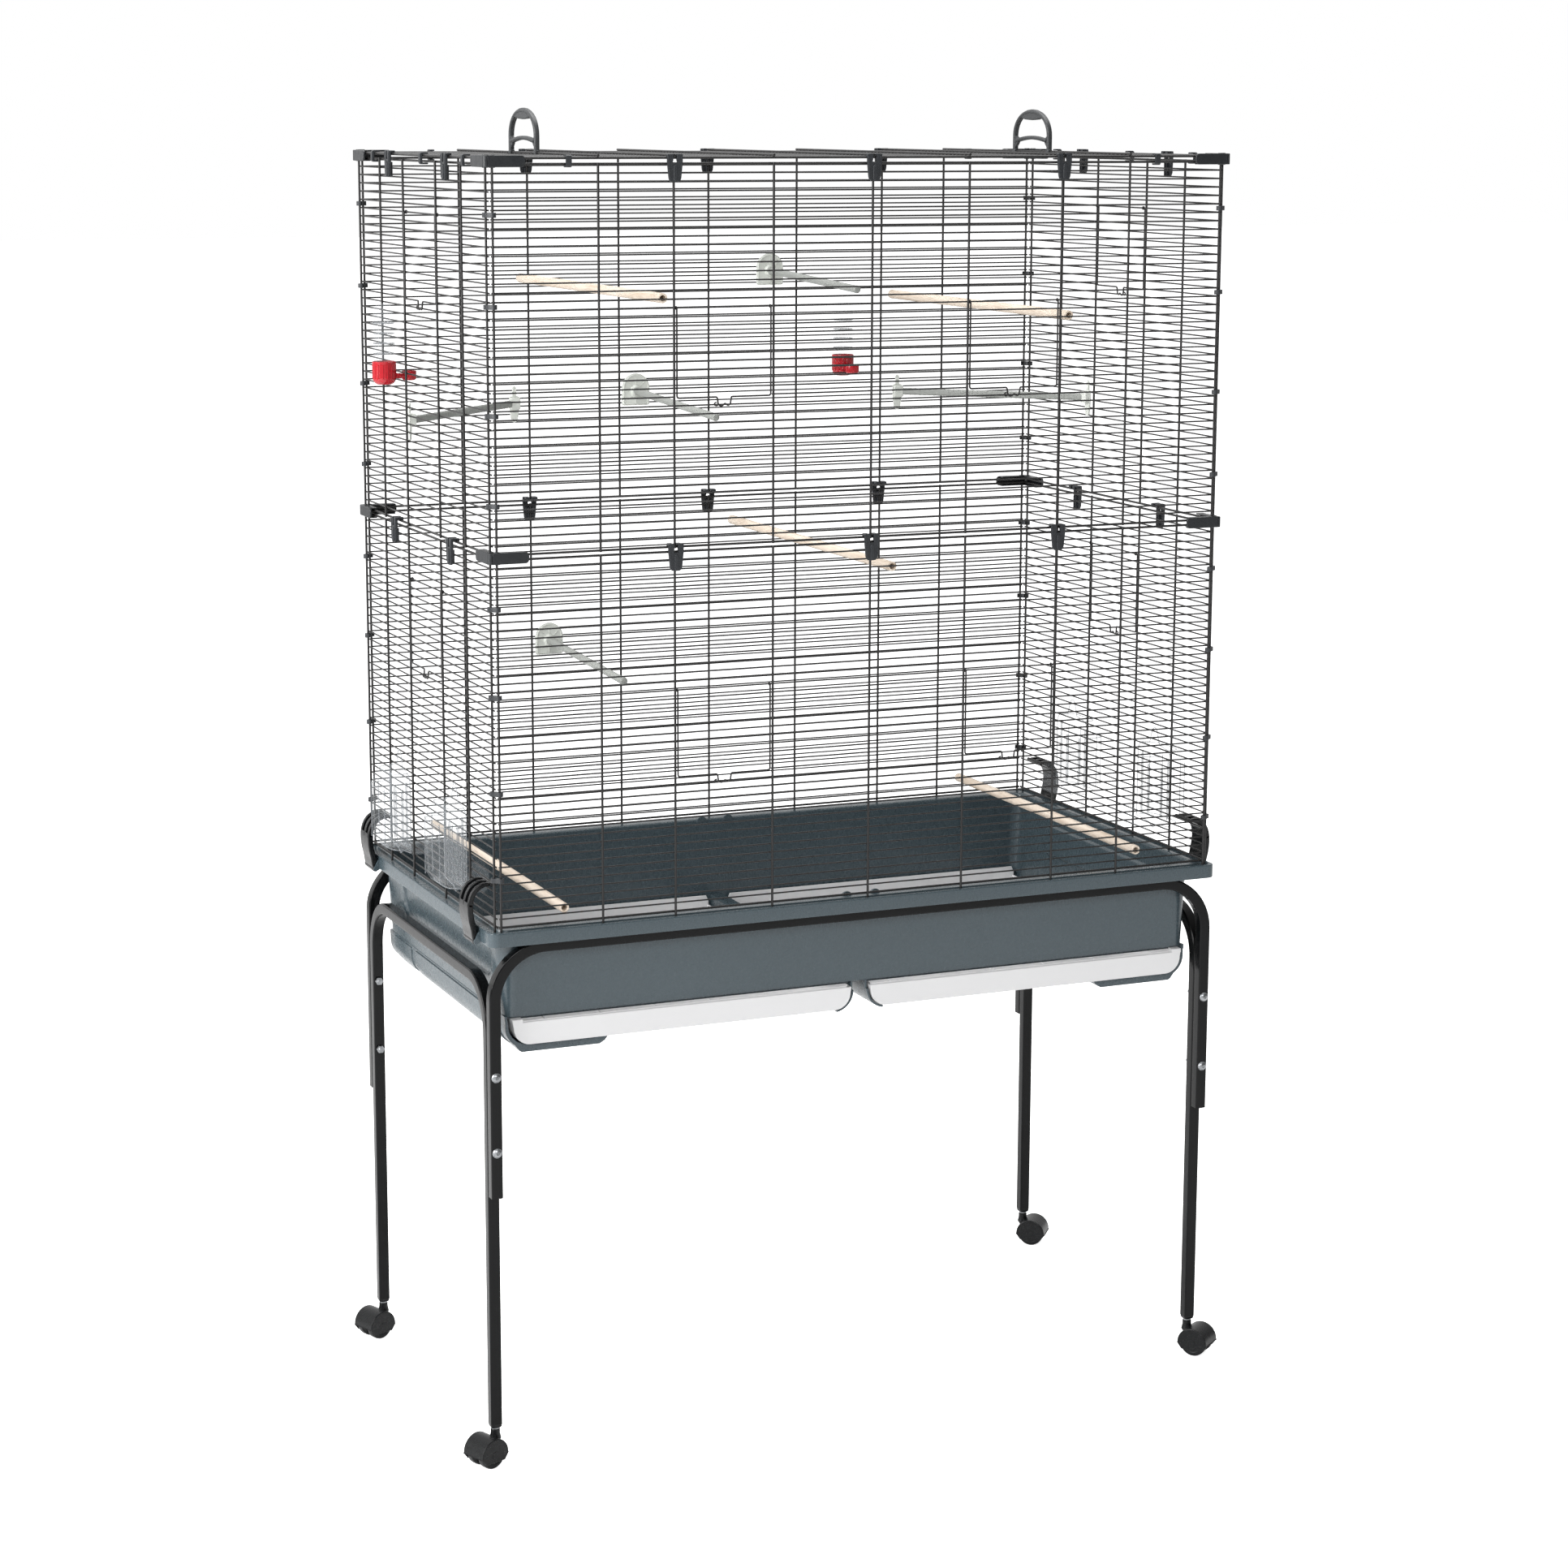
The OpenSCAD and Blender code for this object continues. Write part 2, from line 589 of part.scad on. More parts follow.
// Rod across a back corner with a hooked end plate on each panel
corner_rod_z = rim_z + 598;
corner_rod_x = 288;
corner_rod_y = 76;
module end_plate() {
    box(-7, 7, -10.5, -1.2, -26, 10);
    box(-3, 3, -4, -1.2, 9, 24);
}
module corner_perch() {
    inset = fine_in + fr + 0.3;
    from = [corner_rod_x, cage_d / 2 - inset];
    to = [cage_w / 2 - inset, corner_rod_y];
    reach = norm(to - from);
    turn = atan2(to[1] - from[1], to[0] - from[0]);
    translate([from[0], from[1] + 1, corner_rod_z]) end_plate();
    translate([to[0] + 1, to[1], corner_rod_z]) rotate([0, 0, -90]) end_plate();
    translate([from[0], from[1], corner_rod_z]) rotate([0, 90, turn])
        translate([0, 0, 4]) cylinder(h = reach - 8, r = 4.6);
}
module corner_perches() color("#cdd3c8") for (s = [0, 1]) mirror([s, 0, 0]) corner_perch();

// ---- feeders and fountains ----

feeder_y = (side_door + side_outer) / 2;
feeder_half = 43;
feeder_out = 34;
feeder_wall = 2;
feeder_bottom = rim_z + 31;
feeder_top = rim_z + 136;
feeder_tab = rim_z + 160;

// Hopper outline seen from the front or back, outer wall away from the panel
function hopper_outline(t) = concat([[-wr - 0.2 - t, feeder_bottom + t]],
    arc(-feeder_out + 10, feeder_bottom + 10, 10 - t, 270, 180, 5),
    [[-feeder_out + t, feeder_top - 22]],
    arc(-feeder_out + 18, feeder_top - 18, 18 - t, 180, 120, 5),
    [[-wr - 0.2 - t, feeder_top - t]]);

// Hopper with an open top slot and an arched hanging plate, drawn for a panel at y = 0
module feeder_hopper(x) {
    flip = [for (p = hopper_outline(0)) [p[0], p[1]]];
    hollow = [for (p = hopper_outline(feeder_wall)) [p[0], p[1]]];
    translate([x, 0, 0]) difference() {
        union() {
            along_x(-feeder_half, feeder_half, flip);
            along_y(-wr - 2.4, -wr - 0.2, concat([[-47, feeder_bottom], [-47, feeder_top - 16]],
                arc(-31, feeder_top - 16, 16, 180, 110, 5), [[-12, feeder_tab - 10], [0, feeder_tab]],
                [[12, feeder_tab - 10]], arc(31, feeder_top - 16, 16, 70, 0, 5),
                [[47, feeder_bottom]]));
        }
        along_x(-feeder_half + feeder_wall, feeder_half - feeder_wall, hollow);
        box(-feeder_half + 6, feeder_half - 6, -20, -6, feeder_top - 12, feeder_top + 10);
    }
}

// Seed tray inside the panel, open on top, with a guard that slants inwards
module feeder_tray(x) {
    y0 = fine_in + fr + 0.3;
    y1 = y0 + 27;
    z0 = feeder_bottom - 8;
    translate([x, 0, 0]) difference() {
        along_x(-34, 34, [[y0, z0], [y1 - 6, z0], [y1, z0 + 6], [y1, z0 + 30], [y0 + 8, z0 + 58],
            [y0, z0 + 58]]);
        along_x(-32, 32, [[y0 + 2, z0 + 2], [y1 - 7, z0 + 2], [y1 - 2, z0 + 7], [y1 - 2, z0 + 29],
            [y0 + 7, z0 + 56], [y0 + 2, z0 + 56]]);
        box(-28, 28, y0 + 12, y1 + 5, z0 + 20, z0 + 60);
    }
}
module feeder_hoppers() color([0.9, 0.93, 0.95, 0.4]) {
    on_left() for (x = [-feeder_y, feeder_y]) feeder_hopper(x);
    on_right() for (x = [-feeder_y, feeder_y]) feeder_hopper(x);
}
module feeder_trays() color([0.9, 0.93, 0.95, 0.4]) {
    on_left() for (x = [-feeder_y, feeder_y]) feeder_tray(x);
    on_right() for (x = [-feeder_y, feeder_y]) feeder_tray(x);
}

// Water fountain: clear tube in a red base whose spout passes between two wires
tube_r = 13.8;
base_r = 15.2;
fountain_out = wr + base_r + 0.4;
spout_h = 7;
module fountain_tube(x, z) translate([x, -fountain_out, z]) difference() {
    union() {
        cylinder(h = 88, r = tube_r);
        translate([0, 0, 87]) cylinder(h = 2, r = tube_r - 1.5);
    }
    translate([0, 0, -1]) cylinder(h = 86, r = tube_r - 1.2);
}
module fountain_base(x, z) translate([x, -fountain_out, z]) {
    difference() {
        union() {
            translate([0, 0, -12]) cylinder(h = 26, r = base_r);
            translate([0, 0, -16]) cylinder(h = 5, r = base_r - 4);
        }
        translate([0, 0, -0.1]) cylinder(h = 30, r = tube_r + 0.1);
        translate([0, 0, -9]) cylinder(h = 30, r = tube_r - 3);
    }
    difference() {
        union() {
            box(-5, 5, base_r - 2, fountain_out + 12, -8.5, -8.5 + spout_h);
            translate([0, fountain_out + 16, -11]) cylinder(h = 12, r = 9.5);
        }
        translate([0, fountain_out + 16, -9]) cylinder(h = 12, r = 7.8);
        box(-3.4, 3.4, base_r - 8, fountain_out + 12, -6.8, -3.2);
    }
}
left_fountain = [108, upper_z0 + 17.5 * row_pitch + 5];
back_fountain = [-213, upper_z0 + 15.5 * row_pitch + 5];
module fountain_tubes() color([0.9, 0.93, 0.95, 0.4]) {
    on_left() fountain_tube(-left_fountain[0], left_fountain[1]);
    on_back() fountain_tube(back_fountain[0], back_fountain[1]);
}
module fountain_bases() color("#a81d28") {
    on_left() fountain_base(-left_fountain[0], left_fountain[1]);
    on_back() fountain_base(back_fountain[0], back_fountain[1]);
}

// ---- stand ----

// Square tube bent into an upside-down U, as two nested outlines
module bent_tube(half, top, bottom, r) {
    w = tube_wall;
    difference() {
        along_y(-tube / 2, tube / 2, concat(arch(half, top, bottom, r),
            [for (p = arch(half - tube, top - tube, bottom, r - tube)) [-p[0], p[1]]]));
        along_y(-tube / 2 + w, tube / 2 - w, concat(arch(half - w, top - w, bottom - 1, r - w),
            [for (p = arch(half - tube + w, top - tube + w, bottom - 1, r - tube + w))
                [-p[0], p[1]]]));
    }
}

module bolt_holes(y) for (x = [-leg_x, leg_x], d = bolt_drops)
    rod_y(y - 20, y + 20, x, rim_z - d, 6.4);

module short_frame() color("#16181a") difference() {
    translate([0, -short_leg_y, 0])
        bent_tube(leg_x + tube / 2, rim_z - front_bar_drop, short_leg_end, front_bend_r);
    bolt_holes(-short_leg_y);
}

module side_frame() color("#16181a") difference() {
    translate([leg_x, 0, 0]) rotate([0, 0, 90])
        bent_tube(leg_y + tube / 2, rim_z - side_bar_drop, leg_end_z, side_bend_r);
    bolt_holes(-leg_y);
    bolt_holes(leg_y);
}

module frame_bolts() color("#b9bdbf") all_corners() for (d = bolt_drops)
    translate([leg_x, -short_leg_y - tube / 2 - touch, rim_z - d]) rotate([90, 0, 0]) {
        translate([0, 0, -34]) cylinder(h = 34.5, r = 3);
        difference() {
            translate([0, 0, -3.4]) sphere(r = 7);
            translate([-10, -10, -20]) cube([20, 20, 20]);
        }
    }

module frame_nuts() color("#b9bdbf") all_corners() for (d = bolt_drops)
    translate([leg_x, -leg_y + tube / 2 + touch, rim_z - d]) rotate([-90, 0, 0]) difference() {
        cylinder(h = 4.6, r = 5.6, $fn = 6);
        translate([0, 0, -1]) cylinder(h = 10, r = 3.05);
    }

// Plastic plug in each long leg, holding the caster's stem
module leg_plugs() color("#1b1d1f") all_corners() translate([leg_x, -leg_y, 0]) difference() {
    inner = tube - 2 * tube_wall - 0.2;
    union() {
        translate([0, 0, leg_end_z - 4 - touch]) linear_extrude(4)
            polygon(rounded_rect(-6.4, -6.4, 6.4, 6.4, 2));
        translate([-inner / 2, -inner / 2, leg_end_z - 1]) cube([inner, inner, 34]);
    }
    translate([0, 0, leg_end_z - 10]) cylinder(h = 40, r = stem_r + 0.03);
}

socket_z = leg_end_z - 6.5;
module caster_stems() color("#c4c8ca") all_corners() translate([leg_x, -leg_y, 0]) {
    translate([0, 0, socket_z - 9.2]) cylinder(h = 40, r = stem_r);
    translate([0, 0, socket_z + 0.3]) cylinder(h = 2, r = 5.5);
}

// ---- casters ----

hood_r = wheel_r + 3;
hood_half = 19;
web_half = 4.6;
wheel_in = web_half + 0.4;
wheel_w = 11.6;

// Places a caster's contents: stem at the origin, axle along Y, trail along +X
module caster(corner) {
    sx = corner % 2 == 0 ? -1 : 1;
    sy = corner < 2 ? -1 : 1;
    translate([sx * leg_x, sy * leg_y, 0]) rotate([0, 0, caster_turn[corner]]) children();
}

module caster_fork(corner) color("#1d1f21") caster(corner) difference() {
    union() {
        difference() {
            union() {
                rod_y(-hood_half, hood_half, caster_trail, wheel_r, 2 * hood_r);
                rod_z(wheel_r + 12, socket_z, 0, 0, 12);
            }
            box(-20, 60, -30, 30, -10, wheel_r - 1);
            for (s = [0, 1]) mirror([0, s, 0])
                rod_y(web_half, hood_half - 2, caster_trail, wheel_r, 2 * wheel_r + 1.6);
        }
        rod_y(-hood_half + 1, hood_half - 1, caster_trail, wheel_r, 2 * axle_r);
    }
    rod_z(socket_z - 9.5, socket_z + 5, 0, 0, 2 * stem_r + 0.14);
}

module wheel(corner, side) color("#232527") caster(corner) difference() {
    y0 = side > 0 ? wheel_in : -wheel_in - wheel_w;
    rod_y(y0, y0 + wheel_w, caster_trail, wheel_r, 2 * wheel_r);
    rod_y(y0 - 1, y0 + wheel_w + 1, caster_trail, wheel_r, 2 * axle_r + 0.12);
}

base_tray();
drawer(-1);  // drawer_left
drawer(1);  // drawer_right
front_panel_lower();
front_panel_upper();
back_panel_lower();
back_panel_upper();
on_left() side_panel_lower();  // left_panel_lower
on_left() side_panel_upper();  // left_panel_upper
on_right() side_panel_lower();  // right_panel_lower
on_right() side_panel_upper();  // right_panel_upper
roof_panel();
on_front() door(-door_out, -door_in, front_lower_z);  // door_front_lower_left
on_front() door(door_in, door_out, front_lower_z);  // door_front_lower_right
on_front() door(-door_out, -door_in, front_upper_z);  // door_front_upper_left
on_front() door(door_in, door_out, front_upper_z);  // door_front_upper_right
on_left() door(-side_door, side_door, side_lower_z);  // door_left_lower
on_left() door(-side_door, side_door, side_upper_z);  // door_left_upper
on_right() door(-side_door, side_door, side_lower_z);  // door_right_lower
on_right() door(-side_door, side_door, side_upper_z);  // door_right_upper
corner_clips();
mid_panel_clips();
top_panel_clips();
mid_corner_connectors();
top_corner_connectors();
edge_ring_clips();
handle(-front_outer);  // handle_left
handle(front_outer);  // handle_right
mirror([1, 0, 0]) latch(-latch_y);  // latch_front_left
latch(-latch_y);  // latch_front_right
mirror([1, 0, 0]) latch(latch_y);  // latch_back_left
latch(latch_y);  // latch_back_right
wood_perches();
disc_perches();
corner_perches();
feeder_hoppers();
feeder_trays();
fountain_tubes();
fountain_bases();
short_frame();  // front_frame
mirror([0, 1, 0]) short_frame();  // back_frame
mirror([1, 0, 0]) side_frame();  // side_frame_left
side_frame();  // side_frame_right
frame_bolts();
frame_nuts();
leg_plugs();
caster_stems();
caster_fork(0);  // caster_fork_front_left
caster_fork(1);  // caster_fork_front_right
caster_fork(2);  // caster_fork_back_left
caster_fork(3);  // caster_fork_back_right
wheel(0, -1);  // wheel_front_left_a
wheel(0, 1);  // wheel_front_left_b
wheel(1, -1);  // wheel_front_right_a
wheel(1, 1);  // wheel_front_right_b
wheel(2, -1);  // wheel_back_left_a
wheel(2, 1);  // wheel_back_left_b
wheel(3, -1);  // wheel_back_right_a
wheel(3, 1);  // wheel_back_right_b
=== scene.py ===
"""Looks of the bird cage on its rolling stand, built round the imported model.

Lengths inside the shape code are millimetres, in the CAD frame: origin on the floor
under the middle of the cage, +Z up, front towards -Y. Everything becomes metres in
Shape.piece().
"""
import json
from math import atan2, cos, hypot, pi, radians, sin, sqrt

import bmesh
import bpy
from mathutils import Matrix, Vector


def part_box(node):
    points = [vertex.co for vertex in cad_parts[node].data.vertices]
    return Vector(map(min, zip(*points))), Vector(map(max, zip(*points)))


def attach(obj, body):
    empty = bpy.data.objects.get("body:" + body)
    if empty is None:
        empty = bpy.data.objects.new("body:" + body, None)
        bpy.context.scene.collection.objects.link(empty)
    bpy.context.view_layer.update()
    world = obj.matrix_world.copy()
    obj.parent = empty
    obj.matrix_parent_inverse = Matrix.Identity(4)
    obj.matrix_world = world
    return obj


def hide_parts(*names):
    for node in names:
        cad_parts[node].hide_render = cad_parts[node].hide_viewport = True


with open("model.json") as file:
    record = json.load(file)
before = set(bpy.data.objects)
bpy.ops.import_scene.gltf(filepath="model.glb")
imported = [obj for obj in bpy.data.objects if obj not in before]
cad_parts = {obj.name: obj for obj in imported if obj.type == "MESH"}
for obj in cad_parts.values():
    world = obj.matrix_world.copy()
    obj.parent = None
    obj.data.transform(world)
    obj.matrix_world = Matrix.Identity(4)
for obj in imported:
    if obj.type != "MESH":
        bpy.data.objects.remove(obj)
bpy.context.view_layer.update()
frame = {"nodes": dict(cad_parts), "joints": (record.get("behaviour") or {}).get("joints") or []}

MM = 0.001
JOINTS = {j["child"]: j for j in frame["joints"]}
ROOT = "cage"


# ---------------------------------------------------------------- places

def low(node):
    """Lowest corner of a CAD node in millimetres."""
    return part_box(node)[0] / MM


def high(node):
    """Highest corner of a CAD node in millimetres."""
    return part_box(node)[1] / MM


def pivot(body):
    """Place of a body's joint in millimetres."""
    return Vector(JOINTS[body]["pos_m"]) / MM


WIRE_R = 1.5
FINE_R = 1.0
HALF_W = high("roof_panel").x - WIRE_R
HALF_D = high("roof_panel").y - WIRE_R
ROOF_Z = low("roof_panel").z + WIRE_R
CROSS_Z = pivot("handle_left").z
RIM_Z = pivot("latch_front_left").z + 17.5
RIM_X = HALF_W + 10.5
RIM_Y = HALF_D + 8
LOWER_Z0 = low("front_panel_lower").z + 6.4
LOWER_Z1 = high("front_panel_lower").z - WIRE_R
UPPER_Z0 = low("front_panel_upper").z + WIRE_R
UPPER_Z1 = high("front_panel_upper").z - WIRE_R
PITCH = (LOWER_Z1 - LOWER_Z0) / 42
FINE_IN = 2.55
BORDER_IN = 3.05
EDGE_SET = 6.3
FRONT_COLUMN = 264.2
FRONT_DOOR_X = 133
SIDE_COLUMN = 68.8
SIDE_COLUMN_OUTER = 170.4
CORNERS = ("front_left", "front_right", "back_left", "back_right")
SIDES = ("front", "back", "left", "right")


# ---------------------------------------------------------------- outlines

def arc(cx, cy, r, a0, a1, n=8):
    """Points on an arc, angles in degrees."""
    steps = [a0 + (a1 - a0) * i / n for i in range(n + 1)]
    return [(cx + r * cos(radians(a)), cy + r * sin(radians(a))) for a in steps]


def rounded(x0, y0, x1, y1, r, n=4):
    """Rectangle with rounded corners, counter-clockwise."""
    return (arc(x1 - r, y1 - r, r, 0, 90, n) + arc(x0 + r, y1 - r, r, 90, 180, n)
            + arc(x0 + r, y0 + r, r, 180, 270, n) + arc(x1 - r, y0 + r, r, 270, 360, n))


def area(outline):
    """Signed area of a closed outline."""
    pairs = zip(outline, outline[1:] + outline[:1])
    return sum(a[0] * b[1] - b[0] * a[1] for a, b in pairs) / 2


def inset(outline, d):
    """Closed outline moved inwards by d along its mitres."""
    n = len(outline)
    side = 1 if area(outline) > 0 else -1
    moved = []
    for i in range(n):
        p, q, r = outline[i - 1], outline[i], outline[(i + 1) % n]
        u = Vector((q[0] - p[0], q[1] - p[1]))
        v = Vector((r[0] - q[0], r[1] - q[1]))
        if u.length < 1e-6 or v.length < 1e-6:
            moved.append(q)
            continue
        u.normalize()
        v.normalize()
        m = Vector((-u.y - v.y, u.x + v.x)) * side
        grip = max(m.length_squared / 2, 0.35)
        moved.append((q[0] + m.x * d / grip, q[1] + m.y * d / grip))
    return moved


def shifted(outline, x, z):
    """Outline moved by x along its first axis and z along its second."""
    return [(x + a, z + b) for a, b in outline]


def flipped(outline, s):
    """Outline mirrored across its second axis where s is -1."""
    return [(s * a, b) for a, b in outline]


def curve(points):
    """Smooth open curve through 2-D points, four steps to each span."""
    path = []
    last = len(points) - 1
    for i in range(last):
        corners = (points[max(i - 1, 0)], points[i], points[i + 1], points[min(i + 2, last)])
        for t in (0, 0.25, 0.5, 0.75):
            path.append(tuple(0.5 * (2 * b + (c - a) * t + (2 * a - 5 * b + 4 * c - d) * t * t
                                     + (3 * b - a - 3 * c + d) * t ** 3)
                              for a, b, c, d in zip(*corners)))
    return path + [points[-1]]


# ---------------------------------------------------------------- mesh building

class Shape:
    """Collects closed shells in millimetres and turns them into one piece."""

    def __init__(self, place=None):
        self.verts = []
        self.faces = []
        self.place = place or Matrix.Identity(4)

    def add(self, verts, faces):
        """Adds vertices and faces, moved by the current place."""
        start = len(self.verts)
        self.verts += [self.place @ Vector(v) for v in verts]
        self.faces += [[start + i for i in f] for f in faces]

    def loft(self, rings, caps=(True, True), loop=False):
        """Joins rings that have the same number of points."""
        n = len(rings[0])
        verts = [p for ring in rings for p in ring]
        faces = []
        last = len(rings) if loop else len(rings) - 1
        for k in range(last):
            a, b = k * n, (k + 1) % len(rings) * n
            faces += [[a + i, a + (i + 1) % n, b + (i + 1) % n, b + i] for i in range(n)]
        if caps[0] and not loop:
            faces.append(list(range(n))[::-1])
        if caps[1] and not loop:
            faces.append([(len(rings) - 1) * n + i for i in range(n)])
        self.add(verts, faces)

    def prism(self, outline, lo, hi, axis, edge=0.4, steps=2):
        """Outline pushed from lo to hi along X, Y or Z, with rounded rims."""
        lo, hi = min(lo, hi), max(lo, hi)

        def at(p, t):
            if axis == "x":
                return (t, p[0], p[1])
            if axis == "y":
                return (p[0], t, p[1])
            return (p[0], p[1], t)
        rims = []
        for i in range(steps + 1):
            a = radians(90 * i / steps)
            rims.append((edge * (1 - sin(a)), edge * (1 - cos(a))))
        rings = [[at(p, lo + up) for p in inset(outline, back)] for back, up in rims]
        rings += [[at(p, hi - up) for p in inset(outline, back)] for back, up in rims[::-1]]
        self.loft(rings)

    def lathe(self, profile, centre, axis, n=40):
        """Turns (radius, height) points about an axis through centre."""
        axis = Vector(axis).normalized()
        side = axis.orthogonal().normalized()
        other = axis.cross(side)
        rings = []
        for r, h in profile:
            rings.append([Vector(centre) + axis * h
                          + (side * cos(2 * pi * i / n) + other * sin(2 * pi * i / n)) * max(r, 0.001)
                          for i in range(n)])
        self.loft(rings)

    def tube(self, path, r, n=10, section=None, caps=True, up=None):
        """Sweeps a round wire, or a section of (side, up) points, along a path."""
        path = [Vector(p) for p in path]
        tangents = []
        for i in range(len(path)):
            a, b = path[max(i - 1, 0)], path[min(i + 1, len(path) - 1)]
            tangents.append((b - a).normalized())
        normal = Vector(up) if up else tangents[0].orthogonal()
        rings = []
        for i, p in enumerate(path):
            t = tangents[i]
            normal = (normal - t * normal.dot(t)).normalized()
            side = t.cross(normal)
            stretch = 1.0
            if 0 < i < len(path) - 1:
                bend = (path[i] - path[i - 1]).normalized().dot(t)
                stretch = 1 / max(bend, 0.5)
            if section:
                rings.append([p + side * s[0] + normal * s[1] * stretch for s in section])
            else:
                rings.append([p + (side * cos(2 * pi * k / n) + normal * sin(2 * pi * k / n)) * r
                              for k in range(n)])
        self.loft(rings, (caps, caps))

    def piece(self, name, body, look, stands_for, slot, sharp=32):
        """Makes the object, rides it on its body and lets it stand for its CAD nodes."""
        mesh = bpy.data.meshes.new(name)
        mesh.from_pydata([v * MM for v in self.verts], [], self.faces)
        mesh.validate()
        mesh.polygons.foreach_set("use_smooth", [True] * len(mesh.polygons))
        obj = bpy.data.objects.new(name, mesh)
        bpy.context.scene.collection.objects.link(obj)
        fix_normals(mesh)
        mesh.set_sharp_from_angle(angle=radians(sharp))
        mesh.materials.append(look)
        even = obj.modifiers.new("even_shading", "WEIGHTED_NORMAL")
        even.keep_sharp = True
        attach(obj, body)
        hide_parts(*stands_for)


def fix_normals(mesh):
    """Makes every shell's faces look outwards."""
    work = bmesh.new()
    work.from_mesh(mesh)
    bmesh.ops.recalc_face_normals(work, faces=work.faces)
    work.to_mesh(mesh)
    work.free()


def fillet(points, r, n=5):
    """Open path through points in 3-D, with its inner corners rounded."""
    pts = [Vector(p) for p in points]
    path = [pts[0]]
    for a, b, c in zip(pts, pts[1:], pts[2:]):
        u, v = (a - b), (c - b)
        reach = min(r, u.length * 0.49, v.length * 0.49)
        p, q = b + u.normalized() * reach, b + v.normalized() * reach
        for i in range(n + 1):
            t = i / n
            path.append(p * (1 - t) ** 2 + b * 2 * t * (1 - t) + q * t ** 2)
    path.append(pts[-1])
    return path


def side_frame(side):
    """Matrix from a panel's own frame, outer face towards -Y, to the cage."""
    if side == "front":
        return Matrix.Translation((0, -HALF_D, 0))
    if side == "back":
        return Matrix.Translation((0, HALF_D, 0)) @ Matrix.Rotation(pi, 4, "Z")
    if side == "left":
        return Matrix.Translation((-HALF_W, 0, 0)) @ Matrix.Rotation(-pi / 2, 4, "Z")
    return Matrix.Translation((HALF_W, 0, 0)) @ Matrix.Rotation(pi / 2, 4, "Z")


def mirrors():
    """The four corners of the cage as mirror matrices of the front right one."""
    for sx in (1, -1):
        for sy in (1, -1):
            yield Matrix.Diagonal((sx, sy, 1, 1))


# ---------------------------------------------------------------- materials

class Look:
    """A procedural material: base colour with soft variation, grain and roughness."""

    def __init__(self, name):
        self.mat = bpy.data.materials.new(name)
        self.mat.use_nodes = True
        self.tree = self.mat.node_tree
        self.shader = self.tree.nodes["Principled BSDF"]
        coords = self.tree.nodes.new("ShaderNodeTexCoord")
        self.place = coords.outputs["Object"]

    def node(self, kind, **settings):
        made = self.tree.nodes.new(kind)
        for key, value in settings.items():
            setattr(made, key, value)
        return made

    def link(self, a, b):
        self.tree.links.new(a, b)

    def stretched(self, scale, turn=(0, 0, 0)):
        mapping = self.node("ShaderNodeMapping")
        mapping.inputs["Scale"].default_value = scale
        mapping.inputs["Rotation"].default_value = turn
        self.link(self.place, mapping.inputs["Vector"])
        return mapping.outputs["Vector"]

    def noise(self, scale, detail=3, rough=0.55, where=None):
        made = self.node("ShaderNodeTexNoise")
        made.inputs["Scale"].default_value = scale
        made.inputs["Detail"].default_value = detail
        made.inputs["Roughness"].default_value = rough
        self.link(where or self.place, made.inputs["Vector"])
        return made.outputs["Fac"]

    def ramp(self, factor, stops):
        made = self.node("ShaderNodeValToRGB")
        made.color_ramp.elements[0].position = stops[0][0]
        made.color_ramp.elements[0].color = (*stops[0][1], 1)
        made.color_ramp.elements[1].position = stops[-1][0]
        made.color_ramp.elements[1].color = (*stops[-1][1], 1)
        for place, colour in stops[1:-1]:
            made.color_ramp.elements.new(place).color = (*colour, 1)
        self.link(factor, made.inputs["Fac"])
        return made.outputs["Color"]

    def spread(self, factor, lo, hi):
        made = self.node("ShaderNodeMapRange")
        made.inputs["From Min"].default_value = 0.3
        made.inputs["From Max"].default_value = 0.7
        made.inputs["To Min"].default_value = lo
        made.inputs["To Max"].default_value = hi
        self.link(factor, made.inputs["Value"])
        return made.outputs["Result"]

    def bump(self, height, strength, distance, under=None):
        made = self.node("ShaderNodeBump")
        made.inputs["Strength"].default_value = strength
        made.inputs["Distance"].default_value = distance
        self.link(height, made.inputs["Height"])
        if under:
            self.link(under, made.inputs["Normal"])
        return made.outputs["Normal"]

    def surface(self, colour, rough, normal, **fixed):
        self.link(colour, self.shader.inputs["Base Color"])
        self.link(rough, self.shader.inputs["Roughness"])
        if normal:
            self.link(normal, self.shader.inputs["Normal"])
        for key, value in fixed.items():
            self.shader.inputs[key.replace("_", " ")].default_value = value
        return self.mat


def shade(colour, k):
    return tuple(min(c * k, 1.0) for c in colour)


def moulded(name, colour, rough, grain=0.0004, grain_scale=1400, swing=0.08, wave=9, relief=0.3,
            **fixed):
    """Moulded plastic: slight flow marks, fine spark-eroded grain, handling marks."""
    look = Look(name)
    flow = look.noise(wave, 4)
    base = look.ramp(flow, [(0.3, shade(colour, 1 - swing)), (0.7, shade(colour, 1 + swing))])
    scuffs = look.noise(120, 6, 0.7)
    roughness = look.spread(scuffs, rough - 0.07, rough + 0.07)
    ripple = look.bump(look.noise(35, 2), relief * 0.3, 0.0008)
    normal = look.bump(look.noise(grain_scale, 2, 0.6), relief, grain, ripple)
    return look.surface(base, roughness, normal, **fixed)


def coated(name, colour, rough, peel=260, **fixed):
    """Powder coat on metal: orange peel, faint dust and dull patches."""
    look = Look(name)
    dust = look.noise(22, 5, 0.65)
    base = look.ramp(dust, [(0.35, colour), (0.75, shade(colour, 1.5))])
    roughness = look.spread(look.noise(60, 5, 0.7), rough - 0.06, rough + 0.1)
    normal = look.bump(look.noise(peel, 3, 0.5), 0.25, 0.0006)
    return look.surface(base, roughness, normal, **fixed)


